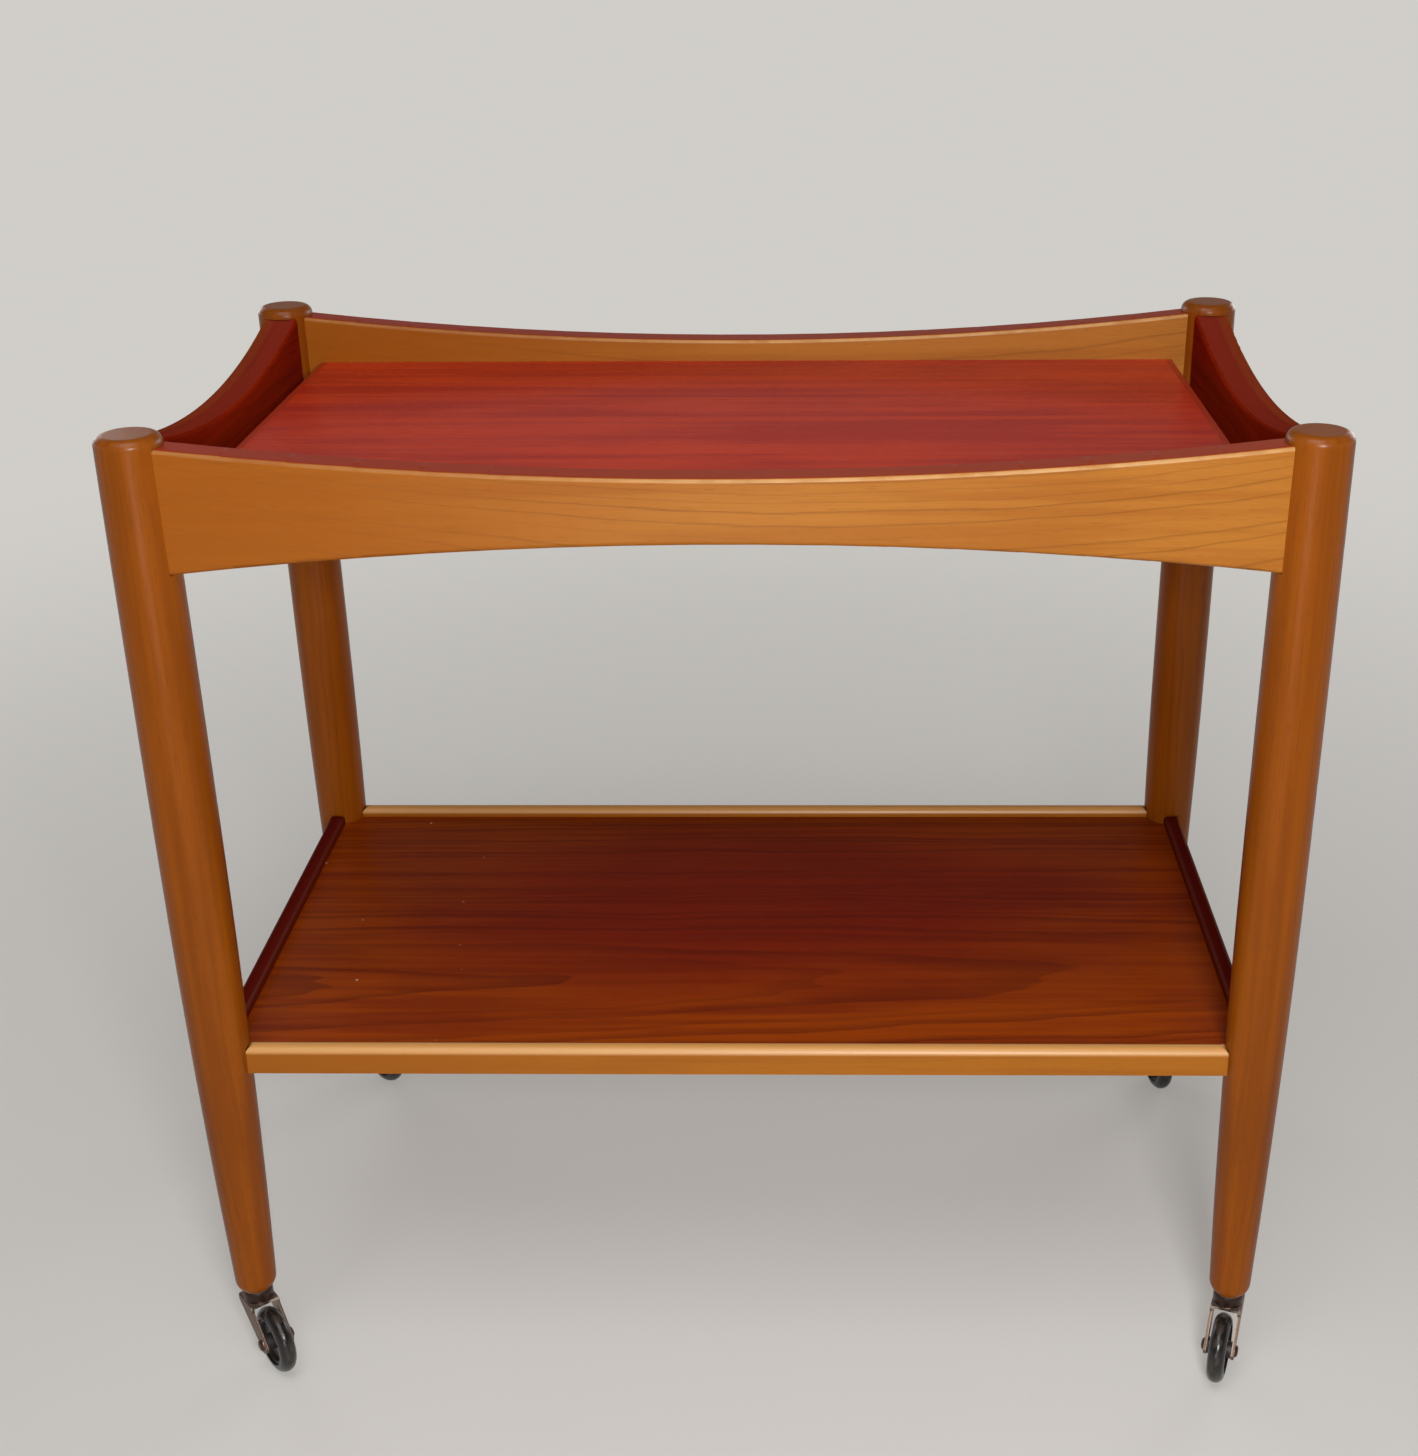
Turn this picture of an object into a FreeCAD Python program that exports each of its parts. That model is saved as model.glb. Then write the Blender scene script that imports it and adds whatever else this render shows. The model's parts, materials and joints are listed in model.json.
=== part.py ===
import FreeCAD, Part
import math
import os
import Sketcher

# Two-tier tea trolley on swivel casters: four turned legs, bow-shaped rails round the top tray,
# a lower shelf housed in its own rails, and a single-wheel caster in the foot of each leg.
# X runs along the trolley to the right, Y from the front to the back, Z up from the floor.

# Driving sizes in millimetres, grouped by the piece that they belong to.
SIZES = {
    # Plan: where the middle of the four legs stands, so that the origin is the middle of the
    # floor that the trolley takes up with its casters turned as they are.
    "plan_middle_long": 0.0,
    "plan_middle_short": 11.627,
    "leg_spacing_long": 700.0,
    "leg_spacing_short": 361.8,
    # Turned leg, measured up from its foot.
    "leg_length": 630.0,
    "leg_top_radius": 20.1,
    "leg_top_easing": 6.0,
    "leg_belly_radius": 20.8,
    "leg_belly_rise": 361.0,
    "leg_ankle_radius": 14.4,
    "leg_ankle_rise": 8.0,
    "leg_foot_radius": 11.0,
    # Bow-shaped rails round the top tray.
    "rail_thickness": 22.0,
    "side_rail_thickness": 25.0,
    "rail_drop": 7.1,
    "rail_end_height": 78.2,
    "rail_easing": 3.0,
    "long_rail_top_sag": 18.6,
    "long_rail_bottom_rise": 18.6,
    "side_rail_top_sag": 20.5,
    "side_rail_bottom_rise": 18.7,
    # Top panel, its solid lippings and the cleats under it.
    "panel_recess": 34.3,
    "panel_thickness": 10.0,
    "finger_gap": 14.0,
    "panel_gap": 0.2,
    "panel_easing": 0.8,
    "lipping_width": 5.0,
    "cleat_width": 14.0,
    "cleat_height": 13.0,
    "cleat_inset": 33.5,
    "cleat_easing": 1.5,
    # Lower shelf and its rails, measured from the foot of the leg to the top of the shelf.
    "shelf_rise": 197.6,
    "shelf_thickness": 8.0,
    "shelf_rail_thickness": 12.0,
    "shelf_rail_skirt": 12.4,
    "shelf_rail_lip": 7.3,
    "shelf_side_lip": 8.5,
    "shelf_rail_easing": 5.4,
    "shelf_side_rounding": 5.4,
    "shelf_seat_depth": 0.4,
    "groove_depth": 3.0,
    "groove_gap": 0.1,
    "groove_end_gap": 0.3,
    "notch_gap": 0.4,
    # Dowels that hold the rails to the legs.
    "dowel_radius": 4.0,
    "dowel_pitch": 40.0,
    "dowel_rail_depth": 26.0,
    "shelf_dowel_radius": 2.5,
    "shelf_dowel_rail_depth": 22.0,
    "dowel_web": 0.9,
    "dowel_end_gap": 0.4,
    "fit_gap": 0.05,
    # Round-head wood screws through the cleats.
    "screw_radius": 1.75,
    "screw_head_radius": 3.8,
    "screw_head_height": 2.4,
    "screw_tip_length": 2.5,
    "cleat_screw_bite": 11.0,
    "cleat_screw_inset": 50.0,
    "panel_screw_bite": 6.0,
    "panel_screw_inset": 170.0,
    # Caster, measured up from the floor.
    "caster_height": 60.6,
    "caster_trail": 22.0,
    "wheel_radius": 24.5,
    "tyre_width": 12.0,
    "tyre_shoulder": 1.6,
    "rim_radius": 17.6,
    "rim_width": 9.0,
    "web_radius": 15.2,
    "web_thickness": 4.0,
    "hub_radius": 6.0,
    "hub_gap": 0.3,
    "axle_radius": 2.75,
    "axle_head_radius": 4.6,
    "axle_head_height": 2.2,
    "axle_head_flat": 1.5,
    "fork_width": 21.4,
    "fork_plate": 2.0,
    "fork_crown_height": 50.6,
    "fork_crown_back": 10.8,
    "fork_crown_front": 11.2,
    "fork_shoulder_drop": 5.0,
    "fork_eye_radius": 6.6,
    "fork_bend_radius": 1.6,
    "collar_radius": 10.6,
    "collar_neck_radius": 9.8,
    "collar_shoulder": 3.0,
    "spigot_radius": 3.5,
    "spigot_head_radius": 5.6,
    "spigot_head_height": 1.6,
    "stem_radius": 4.0,
    "stem_length": 34.0,
    "stem_groove_depth": 0.8,
    "stem_groove_width": 2.0,
    "stem_groove_drop": 5.0,
    "socket_wall": 1.4,
    "socket_length": 38.0,
    "socket_flange_radius": 10.0,
    "socket_flange": 1.2,
    "swivel_gap": 0.3,
    # How far a cut runs past the face that it opens.
    "overrun": 5.0,
}

# Way that each caster trails, in degrees from +X towards +Y.
HEADINGS = {
    "heading_front_left": -50.0,
    "heading_front_right": -110.0,
    "heading_rear_left": -43.0,
    "heading_rear_right": -77.0,
}

# The middle of a quarter round stands this share of its radius away from its centre, along both
# axes, and so this share of it short of the corner.
DIAGONAL_SHARE = math.sqrt(0.5)
QUARTER_ROUND_SHARE = 1 - DIAGONAL_SHARE
FULL_TURN = 360
# Edges and corners nearer than this count as being in the same place.
SAME_PLACE = 1e-4
CLEAT_SCREW_COUNT = 3
PANEL_SCREW_COUNT = 2

# The four corners of the trolley: name, side along X, side along Y.
CORNERS = (
    ("front_left", -1, -1),
    ("front_right", 1, -1),
    ("rear_left", -1, 1),
    ("rear_right", 1, 1),
)

os.makedirs("parts", exist_ok=True)
doc = FreeCAD.newDocument("tea_trolley")
sheet = doc.addObject("Spreadsheet::Sheet", "sizes")


class Size:
    """A size that knows its value and the sheet formula that gives it."""

    def __init__(self, value, formula):
        self.value = value
        self.formula = formula

    @staticmethod
    def of(other):
        return other if isinstance(other, Size) else Size(other, repr(other))

    def joined(self, sign, other, value):
        return Size(value, f"({self.formula} {sign} {Size.of(other).formula})")

    def __add__(self, other):
        return self.joined("+", other, self.value + Size.of(other).value)

    def __sub__(self, other):
        return self.joined("-", other, self.value - Size.of(other).value)

    def __mul__(self, other):
        return self.joined("*", other, self.value * Size.of(other).value)

    def __truediv__(self, other):
        return self.joined("/", other, self.value / Size.of(other).value)

    def __neg__(self):
        return ZERO - self

    def squared(self):
        return self * self


ZERO = Size(0.0, "0")


def root(square):
    return Size(math.sqrt(square.value), f"sqrt({square.formula})")


def cosine(heading):
    return Size(math.cos(math.radians(heading.value)), f"cos({heading.formula})")


def sine(heading):
    return Size(math.sin(math.radians(heading.value)), f"sin({heading.formula})")


def fill_sheet():
    """Writes every driving size and heading to its own named cell."""
    named = {}
    for row, (name, value) in enumerate([*SIZES.items(), *HEADINGS.items()], start=1):
        sheet.set(f"A{row}", name)
        sheet.set(f"B{row}", str(value))
        sheet.setAlias(f"B{row}", name)
        named[name] = Size(value, f"sizes.{name}")
    doc.recompute()
    return named


size = fill_sheet()
nodes = []


def bind(item, member, length):
    item.setExpression(member, length.formula)


def place(item, x=ZERO, y=ZERO, z=ZERO, heading=None):
    for axis, length in zip("xyz", (x, y, z)):
        bind(item, f"Placement.Base.{axis}", length)
    if heading is not None:
        bind(item, "Placement.Rotation.Angle", heading)


def new_body(label, x=ZERO, y=ZERO, z=ZERO, heading=None):
    """Starts a sub-part whose own origin stands at the given place."""
    body = doc.addObject("PartDesign::Body", label)
    body.Label = label
    place(body, x, y, z, heading)
    nodes.append(body)
    return body


def origin_feature(body, role):
    return next(item for item in body.Origin.OriginFeatures if item.Role == role)


def new_sketch(body, name, plane, lift=None):
    sketch = body.newObject("Sketcher::SketchObject", f"{body.Label}_{name}")
    sketch.AttachmentSupport = [(origin_feature(body, plane), "")]
    sketch.MapMode = "FlatFace"
    if lift is not None:
        bind(sketch, "AttachmentOffset.Base.z", lift)
    return sketch


def point(spot):
    return FreeCAD.Vector(spot[0].value, spot[1].value, 0)


def pin(sketch, geometry, end, spot):
    """Holds one end of a sketch line at a spot given in named sizes."""
    for kind, length in zip(("DistanceX", "DistanceY"), spot):
        index = sketch.addConstraint(
            Sketcher.Constraint(kind, -1, 1, geometry, end, length.value)
        )
        if length is not ZERO:
            sketch.renameConstraint(index, f"held_{index}")
            bind(sketch, f"Constraints.held_{index}", length)


def outline(body, name, plane, corners, lift=None):
    """Draws a closed outline. A corner is (x, y), or (x, y, via) where the line to the next
    corner is the arc that passes the spot via."""
    sketch = new_sketch(body, name, plane, lift)
    lines = []
    for corner, following in zip(corners, corners[1:] + corners[:1]):
        start, end = point(corner), point(following)
        if len(corner) == 3:
            via = corner[2]
            line = sketch.addGeometry(Part.Arc(start, point(via), end))
            mark = sketch.addGeometry(Part.Point(point(via)), True)
            sketch.addConstraint(Sketcher.Constraint("PointOnObject", mark, 1, line))
            pin(sketch, mark, 1, via)
        else:
            line = sketch.addGeometry(Part.LineSegment(start, end))
        begins = sketch.getPoint(line, 1).isEqual(start, SAME_PLACE)
        lines.append((line, 1 if begins else 2))
    for (line, first), (after, after_first) in zip(lines, lines[1:] + lines[:1]):
        sketch.addConstraint(Sketcher.Constraint("Coincident", line, 3 - first, after, after_first))
    for (line, first), corner in zip(lines, corners):
        pin(sketch, line, first, corner[:2])
    return sketch


def rectangle(body, name, plane, low, high, lift=None):
    corners = [low, (high[0], low[1]), high, (low[0], high[1])]
    return outline(body, name, plane, corners, lift)


def circles(body, name, plane, spots, radius, lift=None):
    sketch = new_sketch(body, name, plane, lift)
    upright = FreeCAD.Vector(0, 0, 1)
    for spot in spots:
        ring = sketch.addGeometry(Part.Circle(point(spot), upright, radius.value))
        index = sketch.addConstraint(Sketcher.Constraint("Radius", ring, radius.value))
        sketch.renameConstraint(index, f"radius_{index}")
        bind(sketch, f"Constraints.radius_{index}", radius)
        pin(sketch, ring, 3, spot)
    return sketch


def pad(body, sketch, length):
    """Thickens an outline evenly to both sides of its plane."""
    feature = body.newObject("PartDesign::Pad", f"{sketch.Label}_pad")
    feature.Profile = sketch
    feature.SideType = "Symmetric"
    bind(feature, "Length", length)
    doc.recompute()


def cut(body, sketch, length, symmetric=False, onwards=False):
    """Cuts an outline into the body, against its plane's normal or, with onwards, along it."""
    before = body.Shape.Volume
    feature = body.newObject("PartDesign::Pocket", f"{sketch.Label}_cut")
    feature.Profile = sketch
    if symmetric:
        feature.SideType = "Symmetric"
    feature.Reversed = onwards
    bind(feature, "Length", length)
    doc.recompute()
    if not body.Shape.Volume < before:
        raise RuntimeError(f"{feature.Label} cuts nothing")


def turn(body, sketch, axis):
    feature = body.newObject("PartDesign::Revolution", f"{sketch.Label}_turned")
    feature.Profile = sketch
    feature.ReferenceAxis = (sketch, [axis])
    feature.Angle = FULL_TURN
    doc.recompute()
    return feature


def ease(body, radius, chosen):
    """Rounds the edges of the body that the test chosen picks."""
    base = body.Tip
    edges = [f"Edge{i}" for i, edge in enumerate(base.Shape.Edges, start=1) if chosen(edge)]
    feature = body.newObject("PartDesign::Fillet", f"{body.Label}_easing")
    feature.Base = (base, edges)
    bind(feature, "Radius", radius)
    doc.recompute()


def same(first, second):
    return abs(first - second) < SAME_PLACE


def middle_of_round(upright, end):
    """Middle of the arc that stands upright at one spot and ends at the other."""
    inset = upright[0] - end[0]
    half_rise = (end[1] - upright[1]) / 2
    radius = (inset.squared() + (half_rise * 2).squared()) / (inset * 2)
    return (upright[0] - radius + root(radius.squared() - half_rise.squared()), upright[1] + half_rise)


def leg_radius(rise):
    """Radius of a leg below its belly, which swells with the square of the height."""
    fall = (size["leg_belly_rise"] - rise) / (size["leg_belly_rise"] - size["leg_ankle_rise"])
    return size["leg_belly_radius"] - (size["leg_belly_radius"] - size["leg_ankle_radius"]) * fall.squared()


# Places that several pieces share, worked out once from the driving sizes.
half_long = size["leg_spacing_long"] / 2
half_short = size["leg_spacing_short"] / 2
middle_x = size["plan_middle_long"]
middle_y = size["plan_middle_short"]
foot_z = size["caster_height"]

rail_half = size["rail_thickness"] / 2
rail_bottom = size["leg_length"] - size["rail_drop"] - size["rail_end_height"]
handle_half = size["side_rail_thickness"] / 2
rail_seat = root(size["leg_top_radius"].squared() - rail_half.squared())
handle_seat = root(size["leg_top_radius"].squared() - handle_half.squared())
long_rail_half = half_long - rail_seat
side_rail_half = half_short - handle_seat

panel_top = rail_bottom + size["rail_end_height"] - size["panel_recess"]
panel_bottom = panel_top - size["panel_thickness"]
cleat_bottom = panel_bottom - size["cleat_height"]
tray_half = half_short - rail_half
panel_half = half_long - handle_half - size["finger_gap"]
cleat_half = panel_half - size["cleat_inset"]

shelf_rail_half = size["shelf_rail_thickness"] / 2
shelf_rail_bottom = size["shelf_rise"] - size["shelf_rail_skirt"]
shelf_seat = (
    root(leg_radius(shelf_rail_bottom).squared() - shelf_rail_half.squared())
    - size["shelf_seat_depth"]
)
tongue = size["groove_depth"] - size["groove_end_gap"]

shelf_dowel_leg_depth = shelf_seat - size["shelf_dowel_radius"] - size["dowel_web"]
socket_radius = size["stem_radius"] + size["fit_gap"] + size["socket_wall"]


def rail_dowel_rises():
    """Heights of the two dowels above the lower end corner of a top rail."""
    middle = size["rail_end_height"] / 2
    half_pitch = size["dowel_pitch"] / 2
    return (middle - half_pitch, middle + half_pitch)


def shelf_rail_height(lip):
    return size["shelf_rail_skirt"] + lip


class Joint:
    """One kind of rail end let into a leg: its seat, its dowels and where they stand."""

    def __init__(self, name, seat, bottom, height, thickness, rises, dowel_radius, leg_depth, rail_depth):
        self.name = name
        self.seat = seat
        self.bottom = bottom
        self.height = height
        self.thickness = thickness
        self.rises = rises
        self.dowel_radius = dowel_radius
        self.bore_radius = dowel_radius + size["fit_gap"]
        self.leg_depth = leg_depth
        self.rail_depth = rail_depth


def tray_joint(name, seat, thickness):
    leg_depth = seat - size["dowel_radius"] - size["dowel_web"]
    return Joint(
        name, seat, rail_bottom, size["rail_end_height"], thickness, rail_dowel_rises(),
        size["dowel_radius"], leg_depth, size["dowel_rail_depth"],
    )


def shelf_joint(name, lip):
    height = shelf_rail_height(lip)
    return Joint(
        name, shelf_seat, shelf_rail_bottom, height, size["shelf_rail_thickness"], (height / 2,),
        size["shelf_dowel_radius"], shelf_dowel_leg_depth, size["shelf_dowel_rail_depth"],
    )


tray_long_joint = tray_joint("tray_long", rail_seat, size["rail_thickness"])
tray_side_joint = tray_joint("tray_side", handle_seat, size["side_rail_thickness"])
shelf_long_joint = shelf_joint("shelf_long", size["shelf_rail_lip"])
shelf_side_joint = shelf_joint("shelf_side", size["shelf_side_lip"])


def toward(sign, length):
    return length if sign > 0 else -length


def let_in(body, joint, plane, bore_plane, sign, normal):
    """Cuts a rail's seat and its dowel bores into a leg. sign is the way that the rail leaves
    the leg, and normal the way that the bore plane's normal points along that axis."""
    top = joint.bottom + joint.height
    reach = size["leg_belly_radius"] + size["overrun"]
    low = (toward(sign, joint.seat), joint.bottom)
    high = (toward(sign, reach), top)
    seat = rectangle(body, f"{joint.name}_{plane}_seat", plane, low, high)
    cut(body, seat, joint.thickness, symmetric=True)
    spots = [(ZERO, joint.bottom + rise) for rise in joint.rises]
    lift = toward(sign * normal, joint.seat)
    bores = circles(body, f"{joint.name}_{plane}_bores", bore_plane, spots, joint.bore_radius, lift)
    cut(body, bores, joint.leg_depth + size["dowel_end_gap"], onwards=sign * normal < 0)


def leg(corner, side, end):
    """A cigar-shaped turned leg, let in for four rails and bored for its caster socket."""
    x = middle_x + toward(side, half_long)
    y = middle_y + toward(end, half_short)
    body = new_body(f"leg_{corner}", x, y, foot_z)
    foot = (size["leg_foot_radius"], ZERO)
    ankle = (size["leg_ankle_radius"], size["leg_ankle_rise"])
    belly = (size["leg_belly_radius"], size["leg_belly_rise"])
    easing = size["leg_top_easing"]
    neck = (size["leg_top_radius"], size["leg_length"] - easing)
    crown = (size["leg_top_radius"] - easing, size["leg_length"])
    turned_in = easing * QUARTER_ROUND_SHARE
    crown_round = (size["leg_top_radius"] - turned_in, size["leg_length"] - turned_in)
    profile = outline(body, "profile", "XZ_Plane", [
        (ZERO, ZERO),
        (*foot, middle_of_round(ankle, foot)),
        (*ankle, middle_of_round(belly, ankle)),
        (*belly, middle_of_round(belly, neck)),
        (*neck, crown_round),
        crown,
        (ZERO, size["leg_length"]),
    ])
    turn(body, profile, "V_Axis")
    for joint in (tray_long_joint, shelf_long_joint):
        let_in(body, joint, "XZ_Plane", "YZ_Plane", -side, 1)
    for joint in (tray_side_joint, shelf_side_joint):
        let_in(body, joint, "YZ_Plane", "XZ_Plane", -end, -1)
    bore = circles(body, "socket_bore", "XY_Plane", [(ZERO, ZERO)], socket_radius + size["fit_gap"])
    cut(body, bore, size["socket_length"] + size["dowel_end_gap"], onwards=True)


def bore_ends(body, joint, bore_plane, half_length, normal):
    """Bores both ends of a rail for its dowels."""
    spots = [(ZERO, rise) for rise in joint.rises]
    for sign in (-1, 1):
        lift = toward(sign * normal, half_length)
        name = "right_bores" if sign > 0 else "left_bores"
        bores = circles(body, name, bore_plane, spots, joint.bore_radius, lift)
        cut(body, bores, joint.rail_depth + size["dowel_end_gap"], onwards=sign * normal < 0)


def bow_rail(body, plane, half_length, thickness, top_sag, bottom_rise):
    """A rail that is deep at both ends and waisted in the middle. Its four long edges are eased, and
    its ends stay crisp where they meet the legs."""
    height = size["rail_end_height"]
    shape = outline(body, "bow", plane, [
        (-half_length, ZERO, (ZERO, bottom_rise)),
        (half_length, ZERO),
        (half_length, height, (ZERO, height - top_sag)),
        (-half_length, height),
    ])
    pad(body, shape, thickness)
    ease(body, size["rail_easing"], lambda edge: edge.Length > half_length.value)


def screw_pitch(count, inset):
    """Spacing of a row of screws whose outer ones stand this far in from the ends of the cleat."""
    return (cleat_half - inset) * 2 / (count - 1)


def screw_spots(count, inset, height):
    """Evenly spaced spots along X, about the middle."""
    pitch = screw_pitch(count, inset)
    return [(pitch * (index - (count - 1) / 2), height) for index in range(count)]


def long_top_rail(label, end):
    """Front or rear rail of the tray, drilled on its inner face for the cleat's screws."""
    body = new_body(label, middle_x, middle_y + toward(end, half_short), foot_z + rail_bottom)
    sag, rise = size["long_rail_top_sag"], size["long_rail_bottom_rise"]
    bow_rail(body, "XZ_Plane", long_rail_half, size["rail_thickness"], sag, rise)
    bore_ends(body, tray_long_joint, "YZ_Plane", long_rail_half, 1)
    height = cleat_bottom + size["cleat_height"] / 2 - rail_bottom
    spots = screw_spots(CLEAT_SCREW_COUNT, size["cleat_screw_inset"], height)
    pilot_radius = size["screw_radius"] + size["fit_gap"]
    pilots = circles(body, "pilots", "XZ_Plane", spots, pilot_radius, toward(end, rail_half))
    cut(body, pilots, size["cleat_screw_bite"] + size["dowel_end_gap"], onwards=end < 0)


def side_top_rail(label, side):
    """Left or right rail of the tray, which is also the handle at that end."""
    body = new_body(label, middle_x + toward(side, half_long), middle_y, foot_z + rail_bottom)
    sag, rise = size["side_rail_top_sag"], size["side_rail_bottom_rise"]
    bow_rail(body, "YZ_Plane", side_rail_half, size["side_rail_thickness"], sag, rise)
    bore_ends(body, tray_side_joint, "XZ_Plane", side_rail_half, -1)


def is_top_edge(height):
    """Test for the edges of a body that lie at a given height."""
    def at_height(edge):
        return same(edge.BoundBox.ZMin, height.value) and same(edge.BoundBox.ZMax, height.value)
    return at_height


def shelf_rail(body, joint, plane, bore_plane, half_length, inner, normal, rounding):
    """A rail of the lower shelf, rounded on top and grooved on its inner face for the panel.
    inner is the way to the shelf from the rail, and normal the way of the bore plane's normal."""
    blank = rectangle(body, "blank", plane, (-half_length, ZERO), (half_length, joint.height))
    pad(body, blank, joint.thickness)
    ease(body, rounding, is_top_edge(joint.height))
    groove_bottom = size["shelf_rail_skirt"] - size["shelf_thickness"] - size["groove_gap"]
    groove_top = size["shelf_rail_skirt"] + size["groove_gap"]
    face = joint.thickness / 2
    low = (toward(inner, face - size["groove_depth"]), groove_bottom)
    high = (toward(inner, face + size["overrun"]), groove_top)
    groove = rectangle(body, "groove", bore_plane, low, high)
    cut(body, groove, half_length * 2 + size["overrun"], symmetric=True)
    bore_ends(body, joint, bore_plane, half_length, normal)


def long_shelf_rail(label, end):
    body = new_body(label, middle_x, middle_y + toward(end, half_short), foot_z + shelf_rail_bottom)
    half_length = half_long - shelf_seat
    rounding = size["shelf_rail_easing"]
    shelf_rail(body, shelf_long_joint, "XZ_Plane", "YZ_Plane", half_length, -end, 1, rounding)


def side_shelf_rail(label, side):
    body = new_body(label, middle_x + toward(side, half_long), middle_y, foot_z + shelf_rail_bottom)
    half_length = half_short - shelf_seat
    rounding = size["shelf_side_rounding"]
    shelf_rail(body, shelf_side_joint, "YZ_Plane", "XZ_Plane", half_length, -side, -1, rounding)


def top_panel():
    """Veneered tray panel, drilled from below for the screws through the cleats."""
    body = new_body("top_panel", middle_x, middle_y, foot_z + panel_bottom + size["panel_thickness"] / 2)
    half_length = panel_half - size["lipping_width"]
    half_depth = tray_half - size["panel_gap"]
    blank = rectangle(body, "blank", "XY_Plane", (-half_length, -half_depth), (half_length, half_depth))
    pad(body, blank, size["panel_thickness"])
    row = tray_half - size["cleat_width"] / 2
    spots = []
    for end in (-1, 1):
        spots += screw_spots(PANEL_SCREW_COUNT, size["panel_screw_inset"], toward(end, row))
    pilot_radius = size["screw_radius"] + size["fit_gap"]
    pilots = circles(body, "pilots", "XY_Plane", spots, pilot_radius, -(size["panel_thickness"] / 2))
    cut(body, pilots, size["panel_screw_bite"] + size["dowel_end_gap"], onwards=True)


def lipping(label, side):
    """Solid strip glued to the end of the tray panel, eased on its outer edges."""
    half_width = size["lipping_width"] / 2
    x = middle_x + toward(side, panel_half - half_width)
    body = new_body(label, x, middle_y, foot_z + panel_bottom + size["panel_thickness"] / 2)
    half_depth = tray_half - size["panel_gap"]
    blank = rectangle(body, "blank", "XY_Plane", (-half_width, -half_depth), (half_width, half_depth))
    pad(body, blank, size["panel_thickness"])
    outer = toward(side, half_width).value
    half_thickness = size["panel_thickness"].value / 2

    def is_outer_arris(edge):
        box = edge.BoundBox
        level = same(abs(box.ZMin), half_thickness) and same(box.ZMin, box.ZMax)
        return level and same(box.XMin, outer) and same(box.XMax, outer)

    ease(body, size["panel_easing"], is_outer_arris)


def cleat(label, end):
    """Batten under the tray panel, drilled sideways to the rail and upwards to the panel."""
    width = size["cleat_width"]
    height = size["cleat_height"]
    y = middle_y + toward(end, tray_half - width / 2)
    body = new_body(label, middle_x, y, foot_z + cleat_bottom)
    blank = rectangle(body, "blank", "XZ_Plane", (-cleat_half, ZERO), (cleat_half, height))
    pad(body, blank, width)
    inner = toward(-end, width / 2).value

    def is_lower_inner_arris(edge):
        box = edge.BoundBox
        return same(box.ZMax, 0) and same(box.YMin, inner) and same(box.YMax, inner)

    ease(body, size["cleat_easing"], is_lower_inner_arris)
    hole_radius = size["screw_radius"] + size["fit_gap"]
    spots = screw_spots(CLEAT_SCREW_COUNT, size["cleat_screw_inset"], height / 2)
    holes = circles(body, "rail_holes", "XZ_Plane", spots, hole_radius)
    cut(body, holes, width + size["overrun"], symmetric=True)
    spots = screw_spots(PANEL_SCREW_COUNT, size["panel_screw_inset"], ZERO)
    holes = circles(body, "panel_holes", "XY_Plane", spots, hole_radius)
    cut(body, holes, height + size["overrun"], onwards=True)


def shelf_panel():
    """Lower shelf, tongued into its four rails and notched round the legs."""
    middle_z = foot_z + size["shelf_rise"] - size["shelf_thickness"] / 2
    body = new_body("shelf_panel", middle_x, middle_y, middle_z)
    half_length = half_long - shelf_rail_half + tongue
    half_depth = half_short - shelf_rail_half + tongue
    notch = leg_radius(size["shelf_rise"]) + size["notch_gap"]
    along_x = half_long - root(notch.squared() - (half_short - half_depth).squared())
    along_y = half_short - root(notch.squared() - (half_long - half_length).squared())
    slant = notch * DIAGONAL_SHARE
    via_x = half_long - slant
    via_y = half_short - slant
    shape = outline(body, "shape", "XY_Plane", [
        (-along_x, -half_depth),
        (along_x, -half_depth, (via_x, -via_y)),
        (half_length, -along_y),
        (half_length, along_y, (via_x, via_y)),
        (along_x, half_depth),
        (-along_x, half_depth, (-via_x, via_y)),
        (-half_length, along_y),
        (-half_length, -along_y, (-via_x, -via_y)),
    ])
    pad(body, shape, size["shelf_thickness"])


def dowel(label, joint, x, y, z, along_x, sign):
    """One dowel, from the bottom of its bore in the leg towards the rail."""
    peg = doc.addObject("Part::Cylinder", label)
    bind(peg, "Radius", joint.dowel_radius)
    bind(peg, "Height", joint.leg_depth + joint.rail_depth)
    start = toward(sign, joint.seat - joint.leg_depth)
    axis = FreeCAD.Vector(1, 0, 0) if along_x else FreeCAD.Vector(0, 1, 0)
    peg.Placement.Rotation = FreeCAD.Rotation(FreeCAD.Vector(0, 0, 1), axis * sign)
    place(peg, x + start if along_x else x, y if along_x else y + start, z)
    return peg


def dowels(label, long_joint, side_joint):
    """All the dowels of one tier, as one group of separate pegs."""
    pegs = []
    for corner, side, end in CORNERS:
        x = middle_x + toward(side, half_long)
        y = middle_y + toward(end, half_short)
        for joint, along_x, sign in ((long_joint, True, -side), (side_joint, False, -end)):
            for index, rise in enumerate(joint.rises):
                name = f"{label}_{corner}_{'long' if along_x else 'side'}_{index}"
                z = foot_z + joint.bottom + rise
                pegs.append(dowel(name, joint, x, y, z, along_x, sign))
    group = doc.addObject("Part::Compound", label)
    group.Label = label
    group.Links = pegs
    nodes.append(group)


def screw_profile(length):
    """Half outline of a round-head screw that stands on its point, from its tip up its axis."""
    shank = size["screw_radius"]
    head = size["screw_head_radius"]
    rise = size["screw_head_height"]
    shoulder = length
    top = (ZERO, shoulder + rise)
    rim = (head, shoulder)
    crown = (head.squared() + rise.squared()) / (rise * 2)
    half = head / 2
    via = (half, shoulder + rise - crown + root(crown.squared() - half.squared()))
    return [
        (ZERO, ZERO),
        (shank, size["screw_tip_length"]),
        (shank, shoulder),
        (*rim, via),
        top,
    ]


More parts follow.
